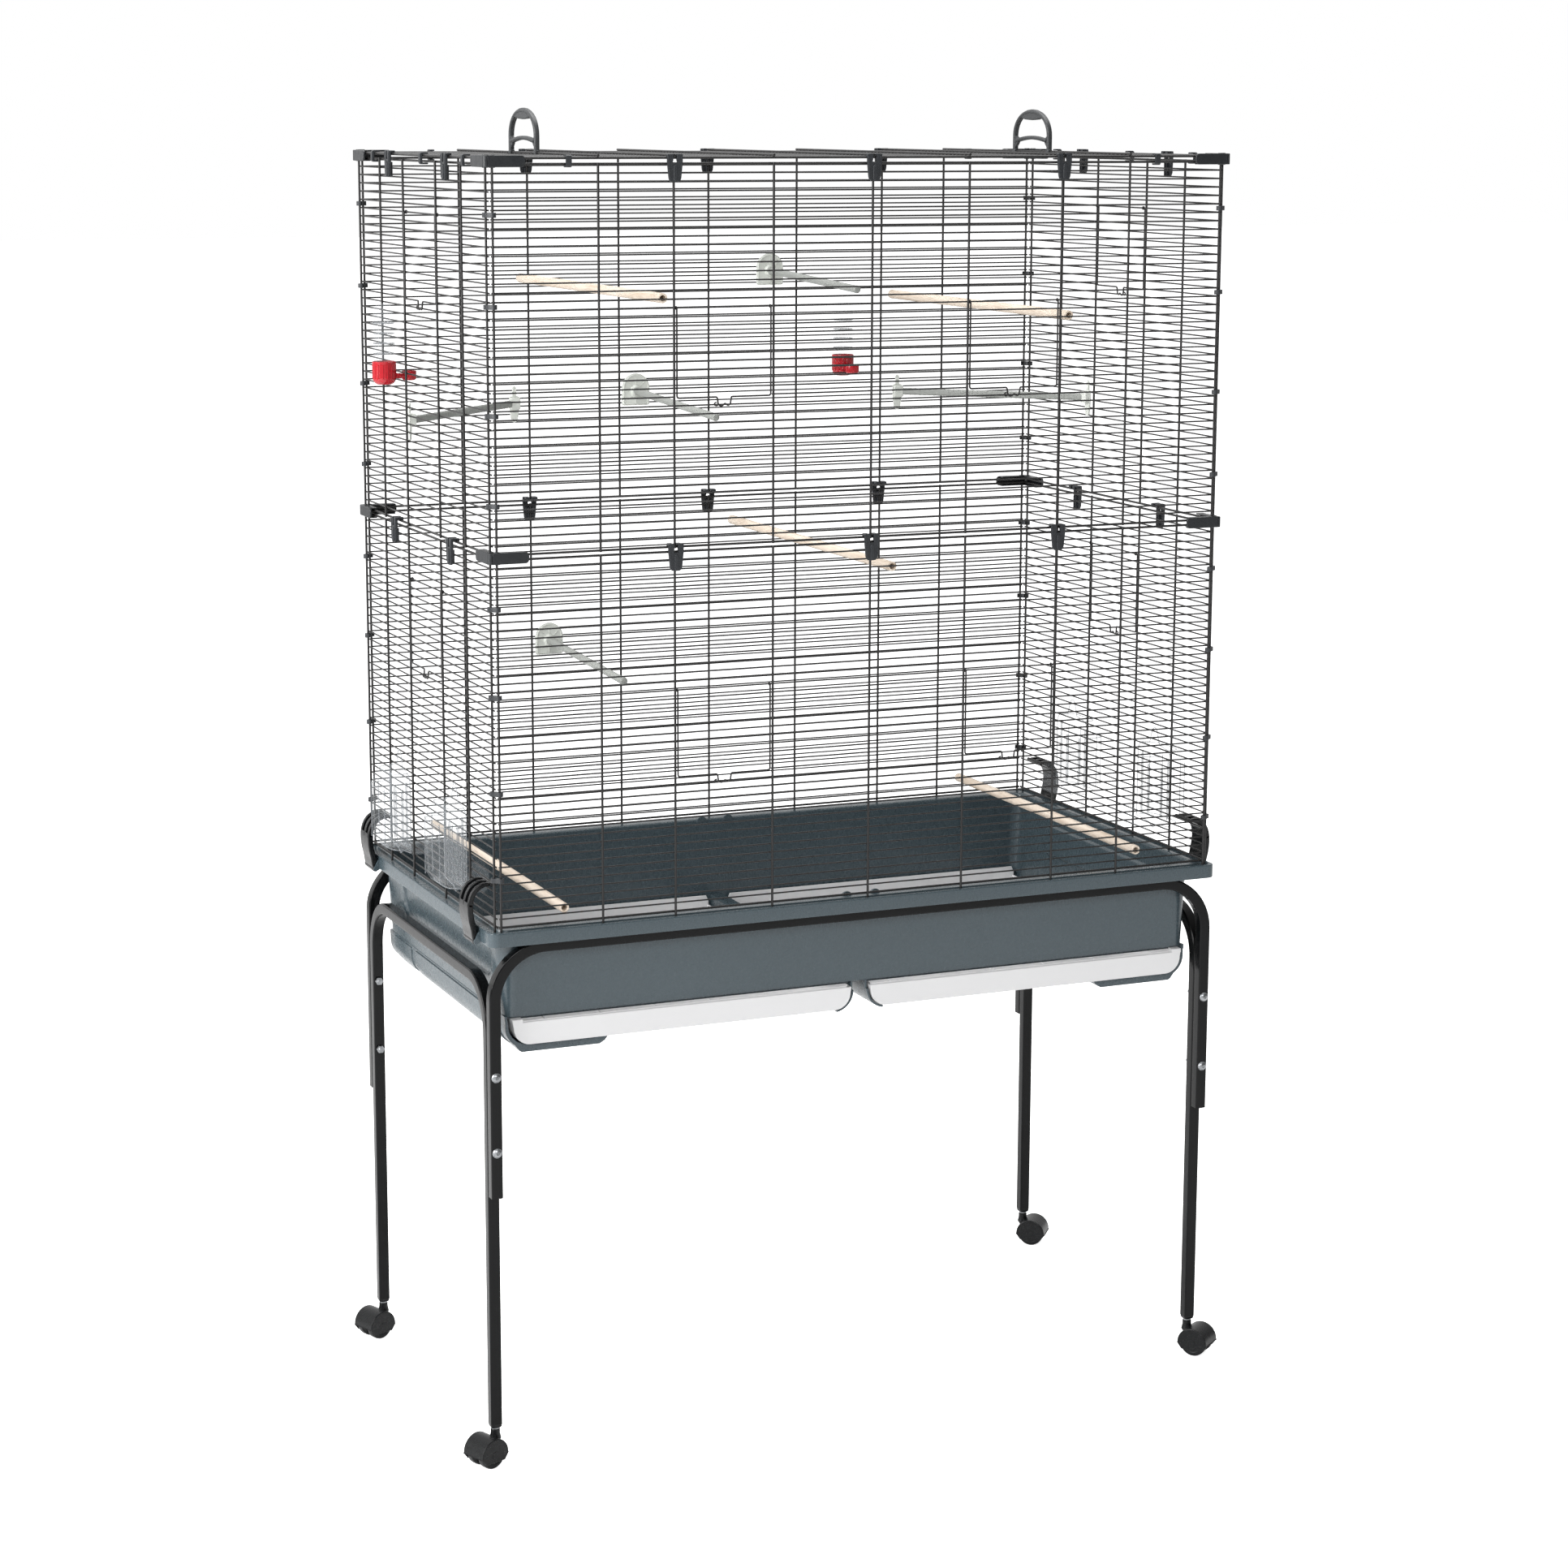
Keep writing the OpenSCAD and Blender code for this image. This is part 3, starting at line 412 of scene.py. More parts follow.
def plated(name):
    """Bright zinc plate: cool grey with cloudy patches and fine turning marks."""
    look = Look(name)
    cloud = look.noise(180, 5, 0.6)
    base = look.ramp(cloud, [(0.3, (0.2, 0.21, 0.22)), (0.7, (0.4, 0.41, 0.42))])
    roughness = look.spread(look.noise(500, 4), 0.28, 0.45)
    normal = look.bump(look.noise(2600, 2), 0.2, 0.0002)
    return look.surface(base, roughness, normal, Metallic=1.0)


def dowel_wood():
    """Pale turned dowel: long grain along Y and small pores."""
    look = Look("pale_dowel_wood")
    along = look.stretched((60, 4, 60))
    grain = look.noise(3.2, 6, 0.62, along)
    base = look.ramp(grain, [(0.28, (0.46, 0.36, 0.27)), (0.48, (0.60, 0.51, 0.42)),
                             (0.72, (0.68, 0.60, 0.51))])
    pores = look.noise(9, 3, 0.5, look.stretched((420, 16, 420)))
    roughness = look.spread(pores, 0.52, 0.72)
    normal = look.bump(pores, 0.5, 0.0004)
    return look.surface(base, roughness, normal)


def clear(name, tint, rough, grain=30, **fixed):
    """Translucent moulded plastic with soft flow ripples."""
    look = Look(name)
    base = look.ramp(look.noise(14, 3), [(0.3, shade(tint, 0.95)), (0.7, tint)])
    roughness = look.spread(look.noise(40, 4), rough, rough + 0.05)
    normal = look.bump(look.noise(grain, 2), 0.12, 0.002)
    return look.surface(base, roughness, normal, **fixed)


def glassy(name, tint, face, edge):
    """Thin clear styrene: almost invisible face on, milky towards its edges."""
    look = Look(name)
    base = look.ramp(look.noise(14, 3), [(0.3, shade(tint, 0.94)), (0.7, tint)])
    normal = look.bump(look.noise(70, 3), 0.04, 0.002)
    turn = look.node("ShaderNodeLayerWeight")
    turn.inputs["Blend"].default_value = 0.35
    made = look.node("ShaderNodeMapRange")
    made.inputs["From Min"].default_value = 0.6
    made.inputs["To Min"].default_value = face
    made.inputs["To Max"].default_value = edge
    look.link(turn.outputs["Facing"], made.inputs["Value"])
    look.link(made.outputs["Result"], look.shader.inputs["Alpha"])
    return look.surface(base, look.spread(look.noise(60, 4), 0.04, 0.1), normal, IOR=1.57)


WIRE = coated("wire_powder_coat", (0.011, 0.0105, 0.0105), 0.36, 900, Specular_IOR_Level=0.35)
STAND = coated("stand_gloss_paint", (0.0028, 0.003, 0.0032), 0.12, 240, Specular_IOR_Level=0.17)
TRAY = moulded("tray_slate_plastic", (0.043, 0.061, 0.071), 0.27, 0.0002, grain_scale=900,
               swing=0.04, wave=3, relief=0.05)
DRAWER = moulded("drawer_white_plastic", (0.6, 0.6, 0.605), 0.36, 0.0002,
                 grain_scale=1100, swing=0.015, wave=4, relief=0.08)
CLIP = moulded("clip_black_plastic", (0.014, 0.016, 0.019), 0.42, 0.0003)
CONNECTOR = moulded("connector_slate_plastic", (0.008, 0.0095, 0.0115), 0.36, 0.0003)
HANDLE = moulded("handle_grey_plastic", (0.03, 0.032, 0.034), 0.45, 0.0003)
LATCH = moulded("latch_black_plastic", (0.0042, 0.0046, 0.005), 0.24, 0.0002, relief=0.15,
                Specular_IOR_Level=0.28)
CASTER = moulded("caster_black_plastic", (0.0045, 0.005, 0.0055), 0.28, 0.0003, 1600, relief=0.1,
                 Specular_IOR_Level=0.25)
WHEEL = moulded("wheel_black_nylon", (0.0045, 0.005, 0.0055), 0.32, 0.0003, 1600, relief=0.15,
                Specular_IOR_Level=0.25)
WOOD = dowel_wood()
# Same pale plastic as the perch plates, given a much darker colour on the rods as painted shade to
# hold back the strong top light on them.
PALE_ROD_SHADED = moulded("perch_rod_plastic_painted_shade", (0.25, 0.26, 0.245), 0.42, 0.0003, relief=0.2)
PALE = moulded("perch_pale_plastic", (0.6, 0.62, 0.58), 0.4, 0.0003, relief=0.2)
CLEAR = glassy("clear_plastic", (0.7, 0.74, 0.77), 0.03, 0.26)
# Dark grey, half-opaque copy of the clear plastic for lines along edges, bends and rings of hoppers
# and fountain tubes: painted shade standing in for the darker look of clear plastic edges.
CLEAR_EDGE_SHADE = glassy("clear_plastic_painted_edge_shade", (0.2, 0.215, 0.23), 0.4, 0.85)
RED = clear("red_clear_plastic", (0.5, 0.012, 0.022), 0.08, 40, Transmission_Weight=0.3)
ZINC = plated("zinc_plate")


# ---------------------------------------------------------------- tray and drawers

TUB_X, TUB_Y = HALF_W - 9.5, HALF_D - 18
BAY_X, BAY_Y = TUB_X - 8.5, TUB_Y - 6.5
TUB_Z = RIM_Z - 117
BAY_Z = TUB_Z - 35
DRAWER_TOP = high("front_frame").z - 105


def smooth(t):
    t = max(0.0, min(1.0, t))
    return t * t * (3 - 2 * t)


def band(y, z):
    """Depth of the long hollow with rounded ends in the tray's side walls."""
    y0, y1, mid, half = -205, 165, RIM_Z - 50, 24
    reach = hypot(max(y0 + half - y, 0, y - y1 + half), z - mid)
    return 7.5 * smooth((half + 3 - reach) / 9)


def tub_ring(hx, hy, z, r, dented=False):
    """Ring round the tub, with enough points on its sides for the hollow."""
    ring = arc(hx - r, hy - r, r, 0, 90, 6) + arc(-hx + r, hy - r, r, 90, 180, 6)
    side = [hy - r - (2 * hy - 2 * r) * i / 72 for i in range(1, 72)]
    ring += [(-hx, y) for y in side]
    ring += arc(-hx + r, -hy + r, r, 180, 270, 6) + arc(hx - r, -hy + r, r, 270, 360, 6)
    ring += [(hx, -y) for y in side]
    if not dented:
        return [(x, y, z) for x, y in ring]
    return [(x - (band(y, z) if x > 0 else -band(y, z)) * (abs(x) > hx - 1), y, z) for x, y in ring]


def base_tray():
    shape = Shape()
    top = [(479, 244.5, -117, 12), (479.2, 244.7, -114, 13), (486.3, 249.8, -4, 16),
           (487.2, 250.6, -1.2, 17), (489, 252.4, 0, 18), (495.6, 266.6, 0, 15),
           (496, 267, -2.4, 14.5), (504.2, 275.4, -2.4, 11), (504.6, 275.8, 0, 11),
           (508.8, 278.3, 0, 12), (510.1, 279.6, -0.5, 12.5), (510.5, 280, -1.8, 13),
           (510.5, 280, -16.8, 13), (510.1, 279.6, -17.8, 12.5), (508, 277.5, -18, 11),
           (507.5, 277, -17.2, 11), (507.5, 277, -7, 11), (505, 274.5, -5, 10),
           (492, 258, -5, 26), (490, 253.8, -8, 28)]
    rings = [tub_ring(x, y, RIM_Z + z, r) for x, y, z, r in top]
    steps = 34
    for i in range(1, steps + 1):
        t = i / steps
        hx, hy = 490 + (482 - 490) * t, 253.8 + (247.6 - 253.8) * t
        rings.append(tub_ring(hx, hy, RIM_Z - 8 - 108 * t, 28 - 14 * t, True))
    rings.append(tub_ring(481, 246.6, RIM_Z - 117, 13))
    shape.loft(rings, loop=True)
    drawer_bay(shape)
    rim_tabs(shape)
    latch_seats(shape)
    for x in (-TUB_X / 3, TUB_X / 3):
        for s in (-1, 1):
            outline = rounded(x - 3, RIM_Z - 15.6, x + 3, RIM_Z - 4, 1)
            shape.prism(outline, s * (TUB_Y - 1), s * (TUB_Y + 20), "y", 0.4)
    shape.piece("tray_shell", ROOT, TRAY, ["base_tray"], "tray_plastic", 28)


def drawer_bay(shape):
    """Walls with rounded lower corners, guides, centre rib and feet under the tub."""
    cx, cz = BAY_X - 28.5, BAY_Z + 22.5
    for s in (-1, 1):
        wall = [(BAY_X + 0.6, TUB_Z + 2), (BAY_X + 0.6, TUB_Z - 3), (BAY_X - 0.2, TUB_Z - 5)]
        wall += arc(cx, cz, 28.4, 0, -90, 14) + [(BAY_X - 36, BAY_Z - 6), (BAY_X - 42, BAY_Z - 3),
                                                 (BAY_X - 42, BAY_Z - 0.2)]
        wall += arc(cx, BAY_Z + 24, 24, -90, 0, 14) + [(BAY_X - 2.6, TUB_Z + 2)]
        shape.prism(flipped(wall, s), -BAY_Y + 0.5, BAY_Y - 1, "y", 0.8)
        side_swell(shape, s)
        for t in (-1, 1):
            foot = [(345, BAY_Z - 0.4), (350, BAY_Z - 7), (357, BAY_Z - 11), (BAY_X - 22, BAY_Z - 11),
                    (BAY_X - 18.6, BAY_Z - 9), (BAY_X - 9, BAY_Z + 4), (BAY_X - 16, BAY_Z + 2),
                    (BAY_X - 30, BAY_Z - 0.6)]
            shape.prism(flipped(foot, s), t * (BAY_Y - 1), t * (BAY_Y - 52), "y", 1.2)
        flare = [(8.5, TUB_Z + 7), (11, TUB_Z + 7)] + arc(36.5, BAY_Z + 24, 24.6, 180, 262, 12)
        flare += arc(36.5, BAY_Z + 24, 27.2, 262, 180, 12)
        shape.prism(flipped(flare, s), -BAY_Y + 0.8, BAY_Y - 1, "y", 0.6)
        hook = [p for p in flare if p[1] < TUB_Z - 4]
        shape.prism(flipped(hook, s), -BAY_Y - 4, -BAY_Y + 3, "y", 0.6)
        # Slate strip recessed behind each drawer lip, put there only so the gap under the tub's front
        # edge reads dark: a painted shadow line.
        gap_shade_strip = rounded(13, TUB_Z - 3.3, BAY_X - 6, TUB_Z + 1, 0.8)
        shape.prism(flipped(gap_shade_strip, s), -BAY_Y + 5, -BAY_Y + 7.5, "y", 0.5)
    shape.prism([(-11, TUB_Z + 4), (-8.5, TUB_Z + 8.5), (8.5, TUB_Z + 8.5), (11, TUB_Z + 4)],
                -BAY_Y + 0.5, BAY_Y - 0.5, "y", 0.8)
    for y in (-180, -60, 60, 180):
        shape.prism(rounded(-9.6, TUB_Z - 12, 9.6, TUB_Z + 6, 1), y - 1, y + 1, "y", 0.4)
    back = [(-BAY_X, TUB_Z + 2)] + arc(-cx, cz, 28.4, 180, 270, 14) + arc(cx, cz, 28.4, 270, 360, 14)
    shape.prism(back + [(BAY_X, TUB_Z + 2)], BAY_Y - 2.6, BAY_Y, "y", 0.8)


def side_swell(shape, s):
    """Raised field wrapped round the lower side wall, with a second one towards the back."""
    cx, cz = BAY_X - 28.5, BAY_Z + 22.5
    for y0, y1, out in ((-222, 126, 1.6), (146, 222, 1.1)):
        wrap = [(BAY_X + out + 0.4, TUB_Z - 1)] + arc(cx, cz, 28.4 + out, 0, -66, 12)
        wrap += arc(cx, cz, 27, -66, 0, 12) + [(BAY_X - 1, TUB_Z - 1)]
        shape.prism(flipped(wrap, s), y0, y1, "y", 1.0)


def rim_tabs(shape):
    """Two half-round tabs in the middle of the rim, front and back."""
    for s in (-1, 1):
        for x in (-20, 20):
            outline = arc(x, RIM_Z - 3.5, 8, 0, 180, 12)
            shape.prism(outline, s * (TUB_Y - 1.2), s * (TUB_Y - 4.8), "y", 0.6)


LATCH_HALF = 19


def latch_seats(shape):
    """Ears and pin that each latch turns on."""
    for corner in CORNERS:
        p = pivot("latch_" + corner)
        s = 1 if p.x > 0 else -1
        for t in (-1, 1):
            y = p.y + t * (LATCH_HALF + 1.9)
            outline = [(s * (RIM_X - 1), p.z + 12), (s * (RIM_X - 1), p.z - 0.2),
                       *[(s * (abs(p.x) + 3.6 * cos(radians(a))), p.z + 3.6 * sin(radians(a)))
                         for a in range(-90, 61, 30)], (s * (RIM_X + 2), p.z + 12)]
            shape.prism(outline, y - 1.3, y + 1.3, "y", 0.4)
        shape.lathe([(0, -20.4), (1.7, -20.4), (1.7, 20.4), (0, 20.4)], p, (0, 1, 0), 20)


def drawer(side, s):
    """White drawer: dished front lip, thin walls and a raised back wall."""
    lo, hi = low("drawer_" + side), high("drawer_" + side)
    x0, x1 = min(abs(lo.x), abs(hi.x)), max(abs(lo.x), abs(hi.x))
    z0, z1 = lo.z, DRAWER_TOP
    y0, y1 = lo.y, hi.y
    t, r = 2.4, 22

    def section(grow, lift, top):
        a, b = x0 + grow, x1 - grow
        ring = [(a, top)] + arc(a + 1 + r - grow, z0 + lift + r - grow, r - grow, 180, 270, 8)
        ring += arc(b - 1 - r + grow, z0 + lift + r - grow, r - grow, 270, 360, 8) + [(b, top)]
        return flipped(ring, s)

    shape = Shape()
    rings = []
    for y, grow, lift in ((y0 + 2.6, 5.5, 4), (y0 + 0.9, 2.2, 1.2), (y0, 0.6, 0.2), (y0 + 0.5, 0, 0),
                          (y0 + 2, 0, 0), (y1 - 1, 0, 0), (y1, 1, 1)):
        rings.append([(x, y, z) for x, z in section(grow, lift, z1 - 1.6 - (grow > 2) * 1.2)])
    inner = ((y1 - 0.4, 2.2, 2.2), (y1 - t, 3.4, 3.4), (y1 - t - 4, t, t), (y0 + t + 5, t, t),
             (y0 + t + 2, 3.4, 3.4), (y0 + t, 6, 5))
    for y, grow, lift in inner:
        rings.append([(x, y, z) for x, z in section(grow, lift, z1)])
    n = len(rings[0])
    verts = [p for ring in rings for p in ring]
    faces = [[k * n + i, k * n + i + 1, (k + 1) * n + i + 1, (k + 1) * n + i]
             for k in range(len(rings) - 1) for i in range(n - 1)]
    faces += [list(range(n)), [(len(rings) - 1) * n + i for i in range(n)]]
    shape.add(verts, faces)
    back = [(x0 + 1.2, z1 - 6), (x0 + 1.2, z1 + 5), (x0 + 5, z1 + 13),
            (x1 - 5, z1 + 13), (x1 - 1.2, z1 + 5), (x1 - 1.2, z1 - 6)]
    shape.prism(flipped(back, s), y1 - t, y1, "y", 0.7)
    front = [(x0, z1 - 1.6), (x0 + 1, z0 + r)] + arc(x0 + 1 + r, z0 + r, r, 180, 270, 8)[1:]
    front += arc(x1 - 1 - r, z0 + r, r, 270, 360, 8) + [(x1, z1 - 1.6)]
    shape.prism(flipped(front, s), y0, y0 + t, "y", 1.0)
    tab = [(x1 - 13, z1 - 3), (x1 + 0.3, z1 - 3), (x1 + 0.3, z1 + 2.4), (x1 - 13, z1 + 2.4)]
    shape.prism(flipped(tab, s), y0, y0 + 14, "y", 0.5)
    for k in range(1, 6):
        x = s * (x0 + (x1 - x0) * k / 6)
        rib = rounded(x - 1.5, z0 + 1.6, x + 1.5, z0 + t + 1.0, 0.6)
        shape.prism(rib, y0 + 20, y1 - 20, "y", 0.4)
    shape.piece("drawer_%s_shell" % side, "drawer_" + side, DRAWER, ["drawer_" + side],
                "drawer_plastic", 34)


# ---------------------------------------------------------------- stand

TUBE = 15.0


def square_section(half, r):
    """Section of the square tube with rounded corners."""
    return rounded(-half, -half, half, half, r, 3)


def u_path(half, top, bottom, r):
    """Centre line of an upside-down U as (across, z) points."""
    half, top, r = half - TUBE / 2, top - TUBE / 2, r - TUBE / 2
    path = [(-half, bottom + (top - r - bottom) * i / 4) for i in range(4)]
    path += arc(-half + r, top - r, r, 180, 90, 20)
    path += arc(half - r, top - r, r, 90, 0, 20)
    return path + [(half, bottom + (top - r - bottom) * i / 4) for i in range(3, -1, -1)]


def bent_frame(name, across, r, plugged):
    """Square tube bent into a U, hollow at its ends."""
    lo, hi = low(name), high(name)
    mid = (lo + hi) / 2
    half = (hi.x - lo.x if across == "x" else hi.y - lo.y) / 2
    flat = u_path(half, hi.z, lo.z, r)
    if across == "x":
        path = [(a, mid.y, z) for a, z in flat]
        up = (0, 1, 0)
    else:
        path = [(mid.x, a, z) for a, z in flat]
        up = (1, 0, 0)
    outer = square_section(TUBE / 2, 2.2)
    inner = square_section(TUBE / 2 - 1.2, 1.4)
    shape = Shape()
    shape.tube(path, 0, section=outer, up=up, caps=False)
    for end, inward in ((path[0], path[1]), (path[-1], path[-2])):
        end = Vector(end)
        deep = end + (Vector(inward) - end).normalized() * (3 if plugged else 14)
        rings = []
        for section, z in ((outer, end.z), (inner, end.z), (inner, deep.z)):
            rings.append([(end.x + x, end.y + y, z) for x, y in section])
        shape.loft(rings, (False, True))
    shape.piece(name + "_tube", ROOT, STAND, [name], "stand_paint", 40)


def bolts_and_nuts():
    """Dome head bolts with a cross recess outside, hexagon nuts with a face inside."""
    heads, nuts = Shape(), Shape()
    leg_x = high("front_frame").x - TUBE / 2
    face = abs(low("front_frame").y)
    nut_face = abs(low("frame_nuts").y)
    dome = [(0, 2.1), (1.6, 2.1), (1.9, 3.35)]
    dome += [(6.05 * cos(radians(a)), 3.6 * sin(radians(a))) for a in (64, 50, 36, 22, 10)]
    hexagon = [(5.6 * cos(radians(60 * i)), 5.6 * sin(radians(60 * i))) for i in range(6)]
    for place in mirrors():
        heads.place = nuts.place = place
        for drop in (185, 281.7):
            z = RIM_Z - drop
            seat = (leg_x, -face - 0.05, z)
            heads.lathe(dome[::-1], seat, (0, -1, 0), 28)
            heads.lathe([(0, 0), (6.2, 0), (6.35, 0.25), (6.1, 0.8)], seat, (0, -1, 0), 28)
            recess = Vector((leg_x, -face - 3.05, z))
            for a in (radians(45), radians(135)):
                arm = [recess + Vector((cos(a), 0, sin(a))) * k for k in (-2.9, 2.9)]
                heads.tube(arm, 0.5, 6)
            heads.lathe([(0, 0), (3, 0), (3, 35), (2.4, 36), (0, 36)], seat, (0, 1, 0), 20)
            nuts.prism(shifted(hexagon, leg_x, z), -nut_face, -nut_face + 4.6, "y", 0.7)
    heads.piece("frame_bolt_heads", ROOT, ZINC, ["frame_bolts"], "zinc_steel", 30)
    nuts.piece("frame_hex_nuts", ROOT, ZINC, ["frame_nuts"], "zinc_steel", 30)


# ---------------------------------------------------------------- casters

WHEEL_R = 18.5
TRAIL = 15.5


def caster_place(corner):
    """Matrix with the stem at the origin and the trail along +X."""
    p = pivot("caster_" + corner)
    axle = JOINTS["wheel_%s_a" % corner]["axis"]
    return Matrix.Translation((p.x, p.y, 0)) @ Matrix.Rotation(atan2(-axle[0], axle[1]), 4, "Z")


def fork_hood(corner):
    """Hood over both wheels: round cheeks, wrapped top with drip edges, stem boss."""
    shape = Shape(caster_place(corner))
    cx, cz, outer, inner = TRAIL, WHEEL_R, 21.4, 19.4
    skirt = cz - 1
    wrap = [(cx + 22.4, skirt)] + arc(cx, cz, outer, 0, 180, 30) + [(cx - 22.4, skirt)]
    wrap += [(cx - 20.6, skirt)] + arc(cx, cz, inner, 180, 0, 30) + [(cx + 20.6, skirt)]
    shape.prism(wrap, -19, 19, "y", 1.0, 3)
    for s in (-1, 1):
        cheek = [(cx + 22.2, skirt + 0.3)] + arc(cx, cz, outer - 0.05, 0, 180, 30)
        cheek += [(cx - 22.2, skirt + 0.3), (cx - 15.4, cz - 9.5), (cx + 15.4, cz - 9.5)]
        shape.prism(cheek, s * 17, s * 19.05, "y", 1.2, 3)
        boss = [(0, 0), (5.4, 0), (5.2, 0.5), (0, 0.55)]
        shape.lathe(boss, (cx, s * 19, cz), (0, s, 0), 28)
    shape.prism(arc(cx, cz, 19.6, 0, 180, 20), -4.5, 4.5, "y", 0.4)
    neck = [(0, 20), (7.6, 33), (6.6, 37.5), (6.05, 40), (6, 45), (5.6, 45.5), (4.2, 45.5),
            (4.2, 44)]
    shape.lathe(neck, (0, 0, 0), (0, 0, 1), 32)
    shape.lathe([(0, -18), (2.5, -18), (2.5, 18), (0, 18)], (cx, 0, cz), (0, 1, 0), 20)
    shape.piece("caster_hood_" + corner, "caster_" + corner, CASTER, ["caster_fork_" + corner],
                "caster_plastic", 36)


def caster_wheel(corner, side):
    """Crowned tread, smooth outer disc with a raised ring, recessed inner face."""
    s = -1 if side == "a" else 1
    shape = Shape(caster_place(corner))
    y0 = 5.0
    profile = [(2.6, 3), (8, 3), (13, 2), (15.2, 0.7), (16.6, 0), (17.6, 0.5), (18.35, 1.6),
               (18.5, 3.4), (18.5, 8), (18.2, 9.8), (17.2, 11), (15.4, 11.5), (13, 11.6),
               (12.2, 11.1), (7, 10.9), (5.6, 11.3), (2.6, 11.3), (2.6, 3)]
    shape.lathe([(r, y0 + h) for r, h in profile], (TRAIL, 0, WHEEL_R), (0, s, 0), 56)
    body = "wheel_%s_%s" % (corner, side)
    shape.piece(body + "_tyre", body, WHEEL, [body], "wheel_plastic", 34)


def stems_and_plugs():
    """Zinc stems with their thrust ring, and the chamfered plug in each leg."""
    stems, plugs = Shape(), Shape()
    lo, hi = low("caster_stems").z, high("caster_stems").z
    end = low("side_frame_left").z
    c = pivot("caster_front_right")
    x, y = abs(c.x), -abs(c.y)
    pin = [(0, lo), (3.6, lo), (4, lo + 0.5), (4, 45.8), (5.4, 45.8), (5.6, 46.1), (5.6, 47.4),
           (5.3, 47.8), (4, 47.8), (4, hi - 1), (3.4, hi), (0, hi)]
    steps = ((4.4, -3.9), (6.2, -3.9), (7.1, -2.4), (7.1, -0.1), (6, -0.05), (6, 12))
    for place in mirrors():
        stems.place = plugs.place = place
        stems.lathe(pin, (x, y, 0), (0, 0, 1), 30)
        plugs.loft([[(x + a, y + b, end + up) for a, b in rounded(-h, -h, h, h, h * 0.35, 4)]
                    for h, up in steps])
    stems.piece("caster_stem_pins", ROOT, ZINC, ["caster_stems"], "zinc_steel", 30)
    plugs.piece("leg_end_plugs", ROOT, CASTER, ["leg_plugs"], "caster_plastic", 34)


# ---------------------------------------------------------------- clips and connectors

def wire_clip(shape, z):
    """Snap clip round two edge uprights of a corner."""
    span = EDGE_SET * sqrt(2)
    place = shape.place
    shape.place = place @ Matrix.Translation((HALF_W - EDGE_SET / 2, -HALF_D + EDGE_SET / 2, 0)) \
        @ Matrix.Rotation(radians(45), 4, "Z")
    half = span / 2
    outline = arc(half, 0, 4.3, -80, 60, 9) + [(half + 1.5, 2.2), (half + 1.2, 1.3)]
    outline += arc(half, 0, 1.65, 40, -220, 10) + [(half - 1.6, 3.0)]
    outline += [(1.2, 2.2), (-1.2, 2.2), (-half + 1.6, 3.0)]
    outline += arc(-half, 0, 1.65, 40, -220, 10) + [(-half - 1.2, 1.3), (-half - 1.5, 2.2)]
    outline += arc(-half, 0, 4.3, 120, 260, 9) + [(-2.4, -3.2), (2.4, -3.2)]
    shape.prism(outline, z - 2.9, z + 2.9, "z", 0.4)
    shape.place = place


def corner_clips():
    shape = Shape()
    heights = []
    for z0, z1 in ((LOWER_Z0, LOWER_Z1), (UPPER_Z0, UPPER_Z1)):
        for d in (-168, -62, 62, 168):
            row = int(((z0 + z1) / 2 + d - z0) / PITCH)
            heights.append(z0 + (row + 0.5) * PITCH)
    for place in mirrors():
        for z in heights:
            shape.place = place
            wire_clip(shape, z)
    shape.piece("corner_snap_clips", ROOT, CLIP, ["corner_clips"], "clip_plastic", 36)


def panel_clip(shape, x, z, wire_in):
    """Tapered plate with a notched top, a spine down its middle and two hooks."""
    half = [(2.3, 4.4), (9.4, 4.4), (10, 3.6), (9.9, -6), (8, -24), (7, -27), (5, -28.7), (2.4, -29)]
    notch = [(-2.3, -3), (-2.9, -4.4), (-2.6, -6.4), (2.6, -6.4), (2.9, -4.4), (2.3, -3)]
    plate = half + flipped(half[::-1], -1) + notch
    shape.prism(shifted(plate, x, z), -5.8, -2.3, "y", 0.7)
    shape.prism(rounded(x - 2.6, z - 28.2, x + 2.6, z - 8.4, 2.5, 5), -7.2, -5.0, "y", 0.8, 3)
    cheek = [(1.8, -10), (3.4, -10), (3.2, -28), (1.8, -28.4)]
    rib = [(7.4, 2), (9.2, 2), (7.4, -24.5), (5.9, -25.5)]
    for s in (-1, 1):
        x0, x1 = x + min(s * 2.5, s * 8.6), x + max(s * 2.5, s * 8.6)
        shape.prism(shifted(flipped(cheek, s), x, z), -3.0, 1.2, "y", 0.4)
        shape.prism(rounded(x0, z + 1.6, x1, z + 4.6, 0.8, 3), -5.4, wire_in + 3.0, "y", 0.5)
        lip = rounded(x0, z - 1.0, x1, z + 4.4, 0.8, 3)
        shape.prism(lip, wire_in + 1.75, wire_in + 3.1, "y", 0.4)
        shape.prism(shifted(flipped(rib, s), x, z), -6.3, -5.5, "y", 0.3)


def clip_positions(side):
    """Places of the panel clips along one side."""
    if side in ("front", "back"):
        return (-FRONT_COLUMN, 0, FRONT_COLUMN)
    return (-11 * PITCH, 11 * PITCH)


def panel_clips(node, name, z, wire_in):
    shape = Shape()
    for side in SIDES:
        shape.place = side_frame(side)
        for x in clip_positions(side):
            panel_clip(shape, x, z, wire_in)
    shape.piece(name, ROOT, CLIP, [node], "clip_plastic", 34)


